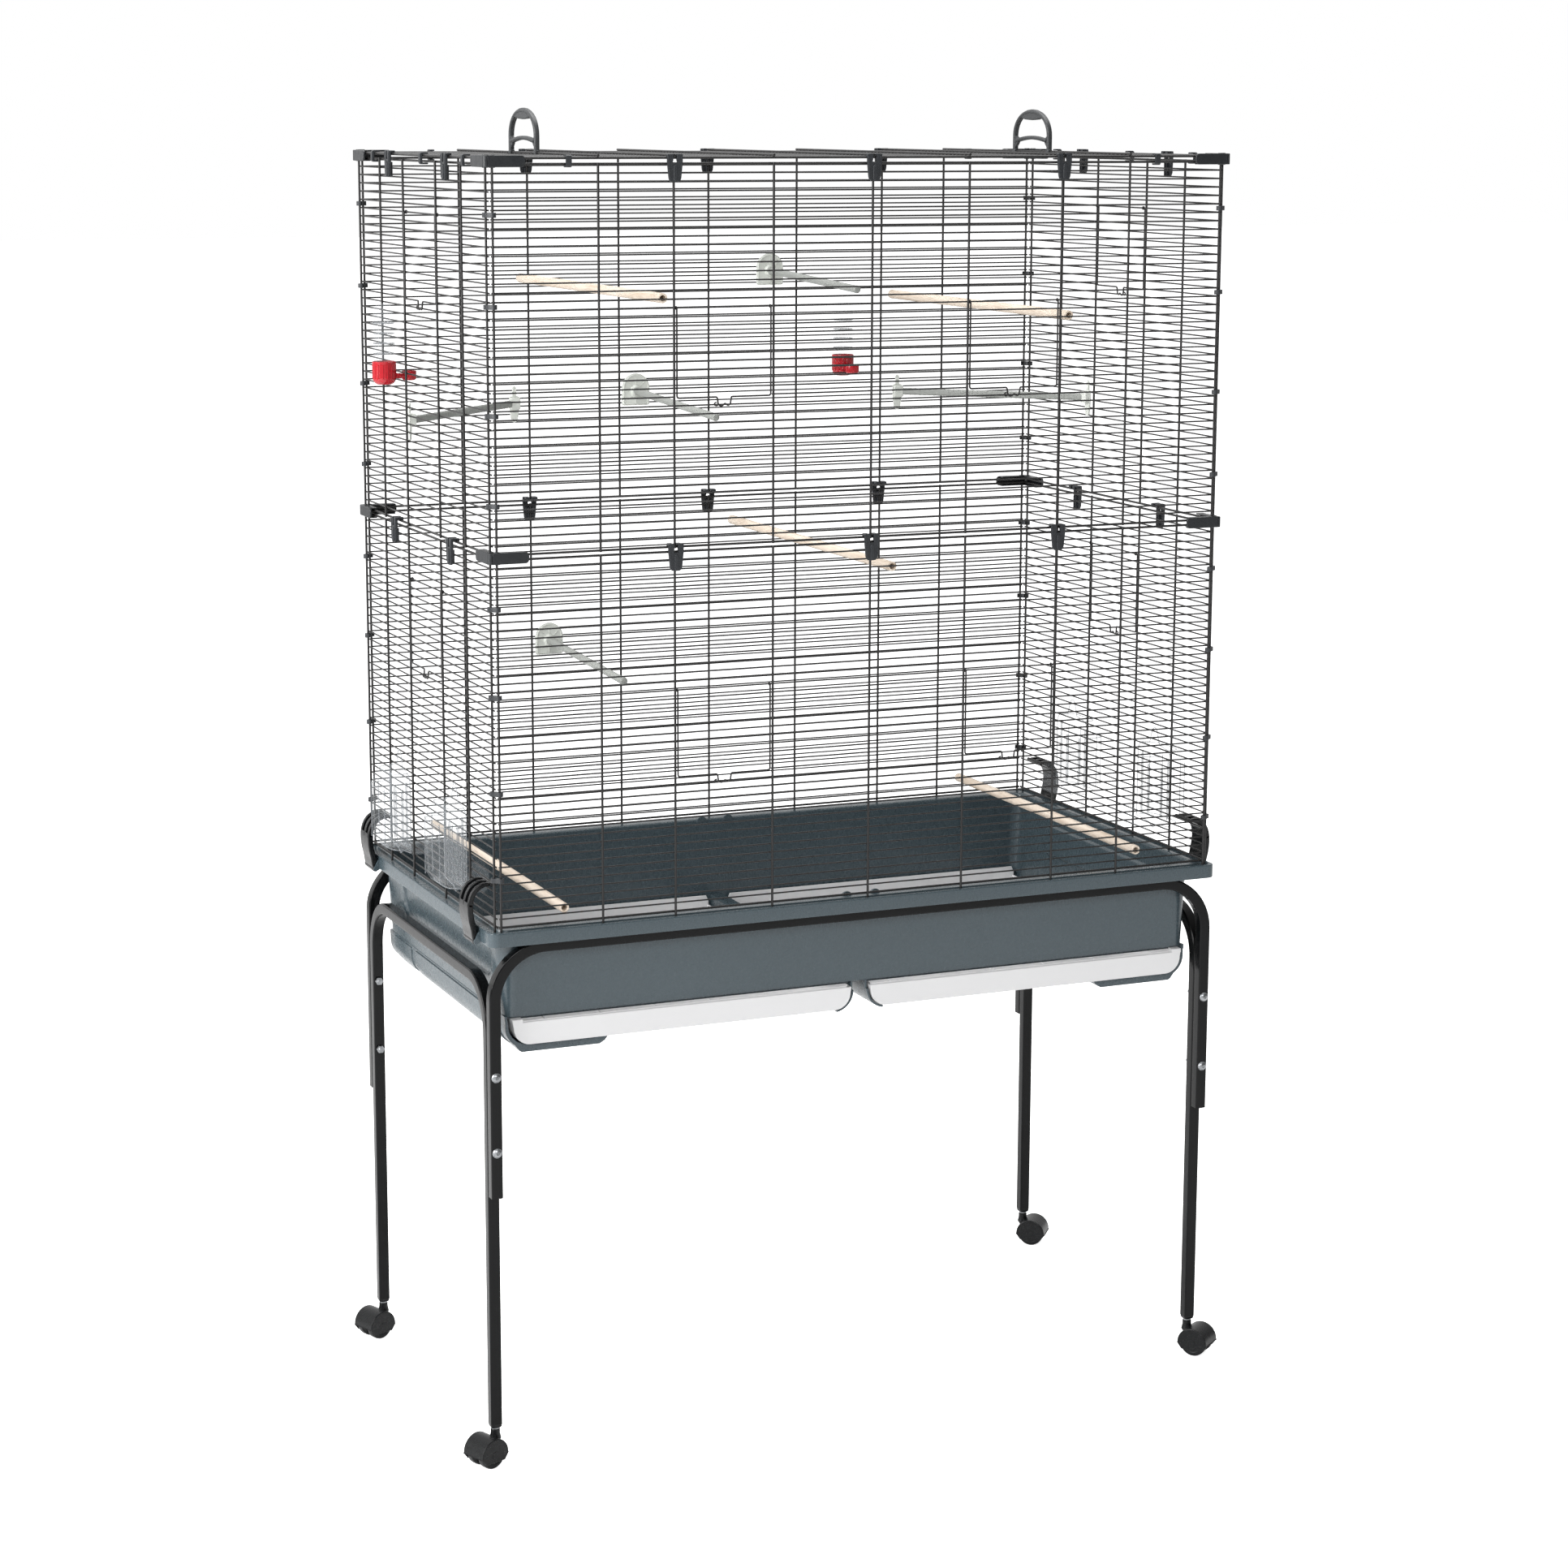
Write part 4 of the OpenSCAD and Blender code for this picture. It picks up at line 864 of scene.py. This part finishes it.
def corner_cover(shape, z):
    """L-shaped cover: rounded outer plates, thin top and bottom flanges and wire eyes."""
    hw, hd = HALF_W, HALF_D
    bar = arc(5, 2, 5, 90, 180, 6) + arc(5, -2, 5, 180, 270, 6) + [(47, -7), (47, 7)]
    shape.prism(shifted(bar, hw - 46, z), -hd - 5.6, -hd - 2.6, "y", 0.9, 3)
    shape.prism(shifted(flipped(bar, -1), -hd + 46, z), hw + 2.6, hw + 5.6, "x", 0.9, 3)
    front = [(hw - 42, -hd - 5), (hw + 3, -hd - 5), (hw + 3, -hd + 5.8), (hw - 41, -hd + 5.8),
             (hw - 42, -hd + 4.6)]
    right = [(hw + 5, -hd - 3), (hw + 5, -hd + 42), (hw - 4.6, -hd + 42), (hw - 5.8, -hd + 41),
             (hw - 5.8, -hd - 3)]
    for s in (-1, 1):
        for flange in (front, right):
            shape.prism(flange, z + s * 5.3, z + s * 6.95, "z", 0.4)
    corner = arc(hw + 1.6, -hd - 1.6, 4.0, -90, 0, 8)
    corner += [(hw + 1.6, -hd + 0.5), (hw - 0.5, -hd - 1.6)]
    shape.prism(corner, z - 7, z + 7, "z", 0.9, 3)
    eye = [(1.7, 0), (3.6, 0), (3.8, 0.4), (3.8, 1.8), (3.6, 2.2), (1.7, 2.2), (1.7, 0)]
    for cx, cy in ((hw - EDGE_SET, -hd), (hw, -hd + EDGE_SET)):
        for foot in (z - 7.6, z + 5.4):
            shape.lathe(eye, (cx, cy, foot), (0, 0, 1), 20)


def corner_covers(node, name, z):
    shape = Shape()
    for place in mirrors():
        shape.place = place
        corner_cover(shape, z)
    shape.piece(name, ROOT, CONNECTOR, [node], "connector_plastic", 34)


def ring_clips():
    """Narrow clips over the roof's border wire and the wire below it."""
    shape = Shape()
    z = (UPPER_Z1 + ROOF_Z) / 2
    half = [(5.6, 5.3), (5.6, 6.8), (4.8, 7.4)] + arc(-2.2, 4.4, 3, 90, 180, 5)
    outer = half + [(a, -b) for a, b in half[::-1]]
    outer += [(-1.2, -5.3), (-1.75, -4.6), (-1.75, 4.6), (-1.2, 5.3)]
    spots = {"front": (-399, 399), "back": (-399, 399),
             "left": (-190, 20, 190), "right": (-190, -20, 190)}
    for side in SIDES:
        shape.place = side_frame(side)
        for x in spots[side]:
            shape.prism(shifted(outer, 0, z), x - 3.5, x + 3.5, "x", 0.5)
    shape.piece("edge_snap_clips", ROOT, CLIP, ["edge_ring_clips"], "clip_plastic", 34)


# ---------------------------------------------------------------- roof handles and latches

def handle(side):
    """Arched bail: flat oval rod, lens-shaped grip, arched cross bar and two eyes."""
    body = "handle_" + side
    c = pivot(body)
    shape = Shape(Matrix.Translation(c))
    reach, top, spring = 4.5 * PITCH, 56, 21
    section = rounded(-2.6, -3.5, 2.6, 3.5, 1.9, 3)
    path = [(-reach - 0.5, 0.5), (-reach - 0.5, 12)]
    for a in range(180, -1, -9):
        x = cos(radians(a))
        path.append(((reach + 0.5) * abs(x) ** 0.9 * (1 if x > 0 else -1),
                     spring + (top - 3.5 - spring) * sin(radians(a))))
    path += [(reach + 0.5, 12), (reach + 0.5, 0.5)]
    shape.tube([(0, y, z) for y, z in path], 0, section=section, up=(1, 0, 0))
    grip = [(y, top - 60 + z) for y, z in
            [(0, 45.4), (18, 46.2), (27, 47.8), (31.6, 49), (30, 53), (22, 56.4), (11, 59), (0, 59.8)]]
    grip += [(-y, z) for y, z in grip[-2:0:-1]]
    shape.prism(grip, -2.9, 2.9, "x", 1.3, 3)
    bar = [(0, -44.5 + 89 * i / 14, 14.2 + 4.2 * sin(pi * i / 14)) for i in range(15)]
    shape.tube(bar, 0, section=rounded(-2.5, -3.5, 2.5, 3.5, 1.8, 3), up=(1, 0, 0))
    web = [(48, 22), (43.6, 20), (36, 15), (41, 9.4), (45.6, 5.4), (48, 3)]
    eye = [(1.62, -3.9), (3.1, -3.9), (3.5, -3.5), (3.5, 3.5), (3.1, 3.9), (1.62, 3.9), (1.62, -3.9)]
    for s in (-1, 1):
        shape.prism(flipped(web, s), -2.2, 2.2, "x", 1.0)
        shape.lathe(eye, (0, s * reach, 0), (0, 1, 0), 24)
    shape.piece(body + "_bail", body, HANDLE, [body], "handle_plastic", 40)


def latch(body):
    """Claw lever: three ribs over the top, dished middle, tail below the pivot."""
    p = pivot(body)
    s = 1 if p.x > 0 else -1
    shape = Shape(Matrix.Translation((s * HALF_W, p.y, RIM_Z)) @ Matrix.Diagonal((s, 1, 1, 1)))
    outer = [(17, -21.6), (19.5, -14), (21, -4), (23.7, 8), (24.9, 20), (24.3, 31), (21.4, 41),
             (16, 48.9), (9, 53.7), (2, 55), (-3.6, 54.6)]
    inner = [(12.6, -20), (12.6, -13.4), (13.6, -4), (16, 8), (17.8, 19), (17.8, 29), (15.6, 38),
             (11, 44.6), (6, 48.4), (1, 50), (-3.6, 50)]

    out, back = curve(outer), curve(inner)
    split = 18
    for centre, half in ((-16.2, 2.8), (0, 3.2), (16.2, 2.8)):
        ribbed = out[split:] + back[split:][::-1]
        shape.prism(ribbed, centre - half, centre + half, "y", 1.5, 3)
    lower = out[:split + 3] + back[:split + 3][::-1]
    shape.prism(lower, -LATCH_HALF, LATCH_HALF, "y", 1.6, 3)
    web = back[split:-4] + [(x - (x - 6) * 0.12, z - 1.6) for x, z in back[split:-4]][::-1]
    shape.prism(web, -14.5, 14.5, "y", 0.3)
    bar = [(0, -21), (2.0, -21), (2.4, -20.4), (2.4, 20.4), (2.0, 21), (0, 21)]
    shape.lathe(bar, (-5.6, 0, 52.2), (0, 1, 0), 20)
    knuckle = [(1.9, -18.8), (3.6, -18.8), (4.2, -18.2), (4.2, 18.2), (3.6, 18.8), (1.9, 18.8),
               (1.9, -18.8)]
    shape.lathe(knuckle, (15.2, 0, -17.5), (0, 1, 0), 24)
    dish = []
    for ring, depth in ((1.0, 0.15), (0.86, 0.75), (0.7, 0.15)):
        loop = []
        for i in range(28):
            across = cos(2 * pi * i / 28) * 6.5 * ring
            up = sin(2 * pi * i / 28) * 11 * ring
            loop.append((21.2 + depth - 0.0012 * up ** 2 + 0.16 * up, across, 1.5 + up))
        dish.append(loop)
    shape.loft(dish, (False, True))
    shape.piece(body + "_claw", body, LATCH, [body], "latch_plastic", 40)


# ---------------------------------------------------------------- doors

def door(body, side, x0, x1):
    """Door of one bent wire with its catch, crossed by fine wires, hung from eyes."""
    hinge = pivot(body)
    shape = Shape(side_frame(side))
    gap, eye_r = 3.6, 1.8
    a, b = x0 + gap, x1 - gap
    mid, top = (a + b) / 2, hinge.z
    row = top - 11 * PITCH
    bar = row + 9.5
    wire = [(a, 0, top), (a, 0, bar), (mid - 10, 0, bar), (mid - 9, -0.5, bar - 2),
            (mid - 8, -0.6, row - 0.5), (mid - 3, -0.9, row - 1.8), (mid + 1, -0.4, row + 2.0),
            (mid + 4.5, -0.9, row - 1.4), (mid + 8, -0.6, row + 0.5), (mid + 9, -0.5, bar - 2),
            (mid + 10, 0, bar), (b, 0, bar), (b, 0, top)]
    shape.tube(fillet(wire, 3.0, 4), 1.1, 10)
    hook = fillet([(mid - 8, -0.6, row + 1), (mid - 9.5, -0.9, row - 1.2), (mid - 13, -0.9, row - 0.6),
                   (mid - 13.4, -0.9, row + 2.2), (mid - 10.5, -0.9, row + 3)], 1.8, 4)
    shape.tube(hook, 0.95, 8)
    for x in (a, b):
        eye = [(x, FINE_IN + eye_r * cos(radians(t)), top + eye_r * sin(radians(t)))
               for t in range(180, -151, -22)]
        shape.tube(eye, 0.72, 8)
    for k in range(2, 11):
        z = row + k * PITCH
        shape.tube([(a - 1.6, 1.7, z), (mid, 1.7, z), (b + 1.6, 1.7, z)], FINE_R, 8)
    shape.piece(body + "_wire", body, WIRE, [body], "wire_coating", 40)


# ---------------------------------------------------------------- perches

def wood_perches():
    """Dowels with eased ends and a bore in each end."""
    shape = Shape()
    lo = low("wood_perches").y
    for x, drop in ((-277, 768), (279, 736), (33, 425), (-410, 22), (394, 27)):
        z = RIM_Z + drop
        profile = [(3.6, lo + 24), (3.6, lo + 0.6), (4.1, lo), (5.5, lo), (6.1, lo + 0.6),
                   (6.25, lo + 1.4)]
        profile += [(6.25, lo + 1.4 + (-2 * lo - 2.8) * i / 10) for i in range(1, 11)]
        profile += [(6.1, -lo - 0.6), (5.5, -lo), (4.1, -lo), (3.6, -lo - 0.6), (3.6, -lo - 24)]
        shape.lathe(profile, (x, 0, z), (0, 1, 0), 36)
    shape.piece("dowel_perches", ROOT, WOOD, ["wood_perches"], "perch_wood", 30)


def disc_perches():
    """Drooping rods on round-topped plates, clamped through the back panel."""
    shape, rods = Shape(), Shape()
    face = HALF_D - FINE_IN - FINE_R - 0.3
    plate = arc(0, 4, 20, 0, 180, 26) + arc(-17, -17, 3, 180, 270, 5) + arc(17, -17, 3, 270, 360, 5)
    rim = inset(plate, 2.2)
    socket = [(0, 2), (8.8, 2), (8.6, 3.4), (7.4, 4.8), (6, 7), (0, 7)]
    nut = [(0, -1), (3.3, -1), (3.3, 6.4), (8.2, 6.4), (8.9, 7), (8.9, 8.9), (8.2, 9.4), (0, 9.4)]
    length = face + 31
    tilt = Vector((0, -length, -12)).normalized()
    spots = ((90, UPPER_Z0 + 28.5 * PITCH), (-111, UPPER_Z0 + 13.5 * PITCH),
             (-241, LOWER_Z0 + 24.5 * PITCH))
    for x, z in spots:
        shape.prism(shifted(plate, x, z), face - 3.2, face, "y", 0.7, 3)
        shape.tube([(x + a, face - 3.4, z + b) for a, b in rim + rim[:1]], 0.9, 8)
        shape.lathe(socket, (x, face, z), (0, -1, 0), 40)
        rods.lathe([(0, 0), (4.9, 4), (4.9, length / 2), (4.9, length - 6), (5.3, length - 5),
                    (5.2, length - 2), (3.6, length - 0.3), (0, length)], (x, face, z), tilt, 24)
        shape.lathe(nut, (x, face, z), (0, 1, 0), 28)
        for k in range(8):
            a = 2 * pi * k / 8
            rib = [(x + r * cos(a), face - 3.3, z + r * sin(a)) for r in (7.5, 16.6)]
            shape.tube(rib, 0.6, 6)
    shape.piece("perch_clamp_plates", ROOT, PALE, ["disc_perches"], "perch_plastic", 34)
    rods.piece("perch_clamp_rods", ROOT, PALE_ROD_SHADED, ["disc_perches"], "perch_plastic", 34)


def corner_perches():
    """Rods across the back corners with hooked end plates and a guard block."""
    shape, rods = Shape(), Shape()
    gap = FINE_IN + FINE_R + 0.3
    z = (low("corner_perches").z + 26 + high("corner_perches").z - 24) / 2
    a = Vector((288, HALF_D - gap, z))
    b = Vector((HALF_W - gap, 76, z))
    step = (b - a).normalized() * 0.9
    core = rounded(-3.6, -4.7, 3.6, 4.7, 2.6, 4)
    ridge = rounded(-3.8, -4.9, 3.8, 4.9, 2.7, 4)
    plate = [(-7, -7), (-7, 9), (-5, 10), (-3, 10), (-2.6, 22), (0, 24), (2.6, 22), (3, 10),
             (5, 10), (7, 9), (7, -7), (4.6, -24), (0, -26), (-4.6, -24)]
    for s in (1, -1):
        side = Matrix.Diagonal((s, 1, 1, 1))
        rods.place = side
        rods.tube([a.lerp(b, k) for k in (0.02, 0.5, 0.98)], 0, section=core, up=(0, 0, 1))
        for k in range(1, 40):
            q = a.lerp(b, k / 40)
            rods.tube([q - step, q + step], 0, section=ridge, up=(0, 0, 1))
        for end, turn in (((a.x, a.y + 0.8, z), 0), ((b.x + 0.8, b.y, z), -pi / 2)):
            shape.place = side @ Matrix.Translation(end) @ Matrix.Rotation(turn, 4, "Z")
            shape.prism(plate, -4.2, -1.4, "y", 0.7)
            shape.prism(rounded(-6.8, -8, 6.8, 8.6, 2), -10.4, -3.8, "y", 1.0, 3)
    shape.piece("corner_perch_hooks", ROOT, PALE, ["corner_perches"], "perch_plastic", 34)
    rods.piece("corner_perch_rods", ROOT, PALE_ROD_SHADED, ["corner_perches"], "perch_plastic", 34)


# ---------------------------------------------------------------- feeders and fountains

FEEDER_Y = (SIDE_COLUMN + SIDE_COLUMN_OUTER) / 2


def bowl(x, half, deep, z, back=-1.9, flutes=1.0, n=44):
    """Ring of a fluted half-round vessel, from its right back corner round the front."""
    ring = []
    for i in range(n + 1):
        t = pi * i / n
        ripple = 1 + 0.018 * flutes * cos(11 * t)
        px = half * (abs(cos(t)) ** 0.42) * (1 if cos(t) >= 0 else -1)
        ring.append((x + px, back - deep * (sin(t) ** 0.42) * ripple, z))
    return ring


def feeder_hopper(shape, rims, x):
    """Fluted half-round hopper with a shoulder and an arched hanging plate."""
    bottom, top = RIM_Z + 31, RIM_Z + 136
    outer = ((36, 22, bottom, 0), (40, 28, bottom + 3, 1), (42.4, 31, bottom + 10, 1),
             (43, 32, bottom + 30, 1), (43, 32, top - 26, 1), (41.8, 30.5, top - 16, 1),
             (38, 27, top - 8, 1), (33, 22, top - 3.4, 0.4), (26, 15, top - 2, 0))
    inner = ((25, 14, top - 3.4, 0), (31.6, 19, top - 5, 0.4), (36.2, 23.6, top - 9.4, 1),
             (40, 27.2, top - 17, 1), (41.2, 28.6, top - 26, 1), (41.2, 28.6, bottom + 30, 1),
             (40.6, 27.6, bottom + 11, 1), (38, 24, bottom + 4.6, 1))
    shape.loft([bowl(x, half, deep, z, flutes=f) for half, deep, z, f in outer]
               + [bowl(x, half, deep, z, -3.6, f) for half, deep, z, f in inner])
    plate = [(-46, bottom - 3), (-46, top - 18)] + arc(-31, top - 16, 15, 180, 105, 6)
    plate += [(-14, top + 2), (-9, top + 15)] + arc(0, top + 16, 8, 160, 20, 6)
    plate += [(9, top + 15), (14, top + 2)] + arc(31, top - 16, 15, 75, 0, 6)
    plate += [(46, top - 18), (46, bottom - 3), (12, bottom - 6), (0, bottom - 12), (-12, bottom - 6)]
    plate = shifted(plate, x, 0)
    shape.prism(plate, -3.7, -1.8, "y", 0.6)
    # The rims shape holds dark lines along the plate edge, down the bowl's sides, round its rims and
    # on its ribs: painted edge shade on the clear plastic.
    edge = inset(plate, 0.6)
    rims.tube([(px, -2.75, pz) for px, pz in edge + edge[:1]], 0.85, 8)
    for s in (-1, 1):
        for k, deep in ((42.2, 20), (30.5, 33.2)):
            rims.tube([(x + s * k, -deep, bottom + 8), (x + s * k, -deep, top - 22)], 0.8, 8)
        for k, r, down, deep in ((36, 0.8, 14, 6.5), (18, 0.7, 30, 7)):
            cx = x + s * k
            rib = rounded(cx - r, bottom + 6, cx + r, top - down, 0.6)
            rims.prism(rib, -deep, -3.0, "y", 0.4)
    for half, deep, z, f in ((36.4, 22.4, bottom + 0.6, 0), (43.1, 32.1, top - 26, 1),
                             (33.2, 22.2, top - 3.2, 1)):
        rims.tube(bowl(x, half, deep, z, flutes=f), 0.8, 8)


def feeder_tray(shape, x):
    """Seed tray inside the cage: rounded lip and slanting side guards."""
    y0 = FINE_IN + FINE_R + 0.35
    z0 = RIM_Z + 23
    side = [(0, 56), (0, 1), (2, 0), (21, 0), (26, 5), (27, 28), (25, 30), (9, 57)]
    for s in (-1, 1):
        shape.prism(shifted(side, y0, z0), x + s * 32, x + s * 34, "x", 0.5)
    lip = [(0, 0), (21, 0), (26, 5), (27, 27), (25.4, 28), (24.4, 6), (20, 1.8), (0, 1.8)]
    shape.prism(shifted(lip, y0, z0), x - 32.5, x + 32.5, "x", 0.4)
    shape.prism(rounded(y0, z0 + 1, y0 + 1.8, z0 + 20, 0.6), x - 32, x + 32, "x", 0.4)
    shape.prism(rounded(y0, z0 + 54, y0 + 8.6, z0 + 56.4, 0.8), x - 32, x + 32, "x", 0.4)


def feeders():
    hoppers, trays, rims = Shape(), Shape(), Shape()
    for side in ("left", "right"):
        hoppers.place = rims.place = trays.place = side_frame(side)
        for x in (-FEEDER_Y, FEEDER_Y):
            feeder_hopper(hoppers, rims, x)
            feeder_tray(trays, x)
    hoppers.piece("feeder_hopper_shells", ROOT, CLEAR, ["feeder_hoppers"], "clear_plastic", 36)
    rims.piece("feeder_hopper_edge_shade_lines", ROOT, CLEAR_EDGE_SHADE, ["feeder_hoppers"], "clear_plastic", 36)
    trays.piece("feeder_tray_shells", ROOT, CLEAR, ["feeder_trays"], "clear_plastic", 36)


def fountains():
    """Clear tubes with graduated rings; red bases with a socket, neck and cup."""
    tubes, bases, rings = Shape(), Shape(), Shape()
    out = 17.1
    outside = [(12.6, 0), (13.8, 0), (13.8, 12), (13.2, 13), (13.6, 14), (13.6, 74), (12.6, 82),
               (9.6, 87), (6, 88.8), (0, 89)]
    inside = [(0, 87.6), (5.6, 87.4), (8.8, 85.8), (11.5, 81.4), (12.4, 74), (12.4, 1)]
    base = [(0, -15.8), (9, -15.8), (11.4, -14.6), (13.6, -12.4), (14.8, -10), (15.2, -6),
            (15.2, 11), (15.6, 11.6), (15.6, 13.4), (15.0, 14), (13.95, 14), (13.95, -0.4),
            (10.8, -0.6), (10.8, -8.8), (0, -9)]
    cup = [(0, -11), (7.4, -11), (9, -9.6), (9.5, -7), (9.5, 0.4), (9.1, 1), (8.3, 1), (7.9, 0.4),
           (7.8, -8.6), (0, -9)]
    up = (0, 0, 1)
    spots = (("left", -108, UPPER_Z0 + 17.5 * PITCH + 5), ("back", -213, UPPER_Z0 + 15.5 * PITCH + 5))
    for side, x, z in spots:
        tubes.place = side_frame(side) @ Matrix.Translation((x, -out, z))
        bases.place = rings.place = tubes.place
        tubes.lathe(inside + outside, (0, 0, 0), up, 48)
        # The graduated rings are real, but their dark material is painted edge shade.
        for k in range(4):
            ring = [(13.5, -0.7), (14.1, 0), (13.5, 0.7), (13.4, 0)]
            rings.lathe(ring, (0, 0, 24 + 13 * k), up, 48)
        bases.lathe(base, (0, 0, 0), up, 48)
        for k in range(16):
            a = 2 * pi * k / 16
            bases.tube([(15.1 * cos(a), 15.1 * sin(a), h) for h in (-8, 10)], 0.5, 6)
        bases.prism(rounded(-5, -8.3, 5, -1.7, 2.2), 12, 28, "y", 0.4)
        bases.lathe(cup, (0, out + 16, 0), up, 36)
    rings.piece("fountain_tube_rings", ROOT, CLEAR_EDGE_SHADE, ["fountain_tubes"], "clear_plastic", 36)
    tubes.piece("fountain_clear_tubes", ROOT, CLEAR, ["fountain_tubes"], "clear_plastic", 36)
    bases.piece("fountain_red_bases", ROOT, RED, ["fountain_bases"], "red_plastic", 36)


# ---------------------------------------------------------------- assembly

PANELS = ["%s_panel_%s" % (side, tier) for side in SIDES for tier in ("lower", "upper")]
for panel in PANELS + ["roof_panel"]:
    wires = frame["nodes"][panel]
    wires.data.materials.clear()
    wires.data.materials.append(WIRE)

base_tray()
drawer("left", -1)
drawer("right", 1)
bent_frame("front_frame", "x", 75, False)
bent_frame("back_frame", "x", 75, False)
bent_frame("side_frame_left", "y", 70, True)
bent_frame("side_frame_right", "y", 70, True)
bolts_and_nuts()
stems_and_plugs()
for corner in CORNERS:
    fork_hood(corner)
    for side in "ab":
        caster_wheel(corner, side)
corner_clips()
panel_clips("mid_panel_clips", "panel_clips_middle", UPPER_Z0, BORDER_IN)
panel_clips("top_panel_clips", "panel_clips_roof", ROOF_Z, 0)
corner_covers("mid_corner_connectors", "corner_covers_middle", (LOWER_Z1 + UPPER_Z0) / 2)
corner_covers("top_corner_connectors", "corner_covers_roof", (UPPER_Z1 + ROOF_Z) / 2)
ring_clips()
handle("left")
handle("right")
for corner in CORNERS:
    latch("latch_" + corner)
for level in ("lower", "upper"):
    door("door_front_%s_left" % level, "front", -FRONT_COLUMN, -FRONT_DOOR_X)
    door("door_front_%s_right" % level, "front", FRONT_DOOR_X, FRONT_COLUMN)
    for side in ("left", "right"):
        door("door_%s_%s" % (side, level), side, -SIDE_COLUMN, SIDE_COLUMN)
wood_perches()
disc_perches()
corner_perches()
feeders()
fountains()


# ---------------------------------------------------------------- floor, lights, camera

def studio():
    """Plain white floor and backdrop; the room's light comes mostly from behind and the left."""
    mesh = bpy.data.meshes.new("studio_floor")
    size = 40.0
    corners = [(-size, -size, 0), (size, -size, 0), (size, size, 0), (-size, size, 0)]
    mesh.from_pydata(corners, [], [[0, 1, 2, 3]])
    floor = bpy.data.objects.new("studio_floor", mesh)
    bpy.context.scene.collection.objects.link(floor)
    look = Look("studio_floor_white")
    base = look.ramp(look.noise(0.4, 2), [(0.3, (0.86, 0.86, 0.86)), (0.7, (0.88, 0.88, 0.88))])
    seen = look.node("ShaderNodeLightPath").outputs["Is Camera Ray"]
    mesh.materials.append(look.surface(base, look.spread(look.noise(2), 0.8, 0.9), None,
                                       Emission_Color=(1, 1, 1, 1), Specular_IOR_Level=0.0))
    glow = look.node("ShaderNodeMath", operation="MULTIPLY")
    glow.inputs[1].default_value = 0.8
    look.link(seen, glow.inputs[0])
    look.link(glow.outputs[0], look.shader.inputs["Emission Strength"])
    world = bpy.data.worlds.new("studio_world")
    world.use_nodes = True
    tree = world.node_tree
    sky = tree.nodes["Background"]
    sky.inputs["Color"].default_value = (1, 1, 1, 1)
    way = tree.nodes.new("ShaderNodeTexCoord").outputs["Generated"]
    along = tree.nodes.new("ShaderNodeVectorMath")
    along.operation = "DOT_PRODUCT"
    along.inputs[1].default_value = (-0.55, 0.75, 0.35)
    tree.links.new(way, along.inputs[0])
    glow = tree.nodes.new("ShaderNodeMapRange")
    for key, value in (("From Min", -0.6), ("From Max", 0.8), ("To Min", 0.12), ("To Max", 1.1)):
        glow.inputs[key].default_value = value
    tree.links.new(along.outputs["Value"], glow.inputs["Value"])
    pick = tree.nodes.new("ShaderNodeMix")
    pick.inputs["B"].default_value = 1.0
    seen = tree.nodes.new("ShaderNodeLightPath").outputs["Is Camera Ray"]
    tree.links.new(seen, pick.inputs["Factor"])
    tree.links.new(glow.outputs["Result"], pick.inputs["A"])
    tree.links.new(pick.outputs["Result"], sky.inputs["Strength"])
    bpy.context.scene.world = world
    bpy.context.scene.view_settings.view_transform = "Standard"
    bpy.context.scene.cycles.transparent_max_bounces = 48


def softbox(name, place, aim, size, power):
    """Rectangular soft light at a place, turned towards its aim."""
    lamp = bpy.data.lights.new(name, "AREA")
    lamp.shape = "RECTANGLE"
    lamp.size, lamp.size_y = size
    lamp.energy = power
    obj = bpy.data.objects.new(name, lamp)
    obj.location = place
    obj.rotation_euler = (Vector(aim) - Vector(place)).to_track_quat("-Z", "Y").to_euler()
    bpy.context.scene.collection.objects.link(obj)


def camera():
    """Camera at the height and bearing of the catalogue view, about 4.5 m away."""
    lens = bpy.data.cameras.new("camera")
    lens.sensor_width = 36
    lens.lens = 76.865
    lens.shift_y = -0.04
    obj = bpy.data.objects.new("camera", lens)
    obj.location = (-1.7515, -4.0756, RIM_Z * MM + 0.9914)
    bearing, pitch, roll = 0.40576, -0.18028, 0.003
    ahead = Vector((sin(bearing) * cos(pitch), cos(bearing) * cos(pitch), sin(pitch)))
    turn = ahead.to_track_quat("-Z", "Y").to_matrix() @ Matrix.Rotation(roll, 3, "Z")
    obj.rotation_euler = turn.to_euler()
    bpy.context.scene.collection.objects.link(obj)
    bpy.context.scene.camera = obj


studio()
softbox("key_left", (-4.2, -0.6, 2.4), (0, 0, 0.9), (2.6, 3.0), 235)
softbox("fill_front", (-1.6, -5.0, 3.6), (0, 0, 0.8), (3.0, 2.0), 160)
softbox("top_wash", (0.4, 0.6, 4.4), (0, 0, 0.8), (3.0, 2.4), 110)
camera()
